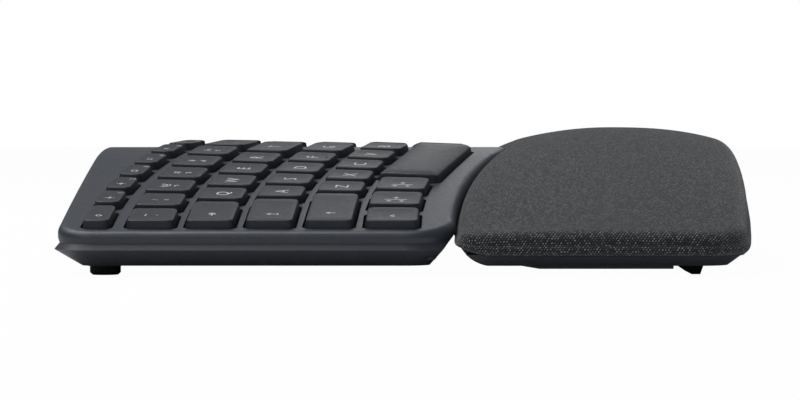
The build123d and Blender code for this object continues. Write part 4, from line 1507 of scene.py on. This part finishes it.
@dataclass(frozen=True)
class Dresser:
    """Gives the rigid nodes, which keep their solids' shapes, the finishes of their parts."""

    wardrobe: Wardrobe
    frame: dict

    def build(self) -> None:
        """Dresses every node that isn't a key or the pad."""
        finishes = {
            Finish.DECK: ("top_case",),
            Finish.BASE: (
                "bottom_case", "key_frame", "battery_cover", "palm_rest_support", "palm_rest_base"
            ),
            Finish.LEG: ("leg_large_left", "leg_large_right", "leg_small_left", "leg_small_right"),
            Finish.FILM: ("membrane_sheet",),
            Finish.DOME: ("rubber_domes",),
            Finish.BOARD: ("circuit_board",),
            Finish.CELL: ("batteries",),
            Finish.CONTACT: ("battery_contacts",),
            Finish.SWITCH: ("power_switch",),
            Finish.FOOT: ("rubber_feet",),
            Finish.PIN: ("leg_pins",),
        }
        for finish, nodes in finishes.items():
            for node in nodes:
                for slot in self.frame["nodes"][node].material_slots:
                    slot.material = self.wardrobe.get(finish)
                LOG.info("dressed %s", node)


@dataclass(frozen=True)
class Lamp:
    """Square soft lamp that points at the origin, in metres and watts."""

    name: str
    place: tuple[float, float, float]
    size: float
    power: float

    def build(self) -> None:
        """Makes the lamp."""
        light = bpy.data.lights.new(self.name, "AREA")
        light.shape = "SQUARE"
        light.size = self.size
        light.energy = self.power
        lamp = bpy.data.objects.new(self.name, light)
        lamp.location = self.place
        lamp.rotation_euler = (-Vector(self.place)).to_track_quat("-Z", "Y").to_euler()
        bpy.context.scene.collection.objects.link(lamp)
        LOG.info("lamp %s", self.name)


@dataclass(frozen=True)
class Studio:
    """Pale floor, white surround, soft lamps and the camera at the photograph's place."""

    camera_place: tuple[float, float, float] = (-1088.0, 5.5, 47.2)
    pitch: float = 1.5
    focal_pixels: float = 2720.0
    picture_width: float = 800.0
    sensor_width: float = 36.0
    clip_metres: tuple[float, float] = (0.01, 50.0)
    sky_colour: Colour = (0.93, 0.96, 1.0)
    sky_strength: float = 0.17
    floor_half_width: float = 6000.0
    floor_tone: float = 0.8
    floor_glow_share: float = 0.98
    lamps: tuple[Lamp, ...] = (
        Lamp("top_lamp", (0.1, 0.5, 1.18), 1.0, 12.5),
        Lamp("far_lamp", (1.7, -0.14, 0.75), 0.55, 1.5),
        Lamp("near_lamp", (-1.0, 0.45, 0.95), 0.9, 3.0),
    )

    def surround(self) -> None:
        """World that is white to the camera and a softer light on the object."""
        nodes = Nodes(bpy.data.worlds.new("surround"))
        bpy.context.scene.world = nodes.owner
        white = nodes.add("Background", WHITE)
        soft = nodes.add("Background", (*self.sky_colour, 1.0), self.sky_strength)
        nodes.add("OutputWorld", nodes.for_camera(white, soft, 1.0))

    def floor(self) -> None:
        """Wide pale floor that shows near white to the camera and keeps a soft shadow."""
        nodes = Nodes(bpy.data.materials.new("floor_card"))
        card = nodes.add("BsdfDiffuse", (*(self.floor_tone,) * 3, 1.0))
        glow = nodes.add("Emission", WHITE)
        nodes.add("OutputMaterial", nodes.for_camera(glow, card, self.floor_glow_share))
        half = self.floor_half_width
        corners = np.array([[-half, -half, 0], [half, -half, 0], [half, half, 0], [-half, half, 0]])
        floor = mesh_piece("floor_card", corners, [(0, 1, 2, 3)], [nodes.owner])

    def camera(self) -> None:
        """Camera as fitted to the photograph."""
        lens = bpy.data.cameras.new("photo_camera")
        lens.sensor_width = self.sensor_width
        lens.lens = self.focal_pixels / self.picture_width * self.sensor_width
        lens.clip_start, lens.clip_end = self.clip_metres
        camera = bpy.data.objects.new("photo_camera", lens)
        camera.location = Vector(self.camera_place) * MM
        camera.rotation_euler = (math.radians(90 - self.pitch), 0.0, math.radians(-90))
        bpy.context.scene.collection.objects.link(camera)
        bpy.context.scene.camera = camera

    def build(self) -> None:
        """Sets up the whole studio."""
        bpy.context.scene.view_settings.view_transform = "Standard"
        self.surround()
        self.floor()
        for lamp in self.lamps:
            lamp.build()
        self.camera()


def main() -> None:
    """Builds every piece in order."""
    logging.basicConfig(level=logging.INFO, format="%(name)s %(message)s")
    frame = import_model()
    wardrobe = Wardrobe()
    Dresser(wardrobe, frame).build()
    Keycaps(wardrobe).build(KeyFan().all_keys())
    pad = PalmPad(wardrobe).build()
    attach(pad, "base")
    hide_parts("palm_rest_pad")
    Studio().build()


if __name__ == "__main__":
    main()
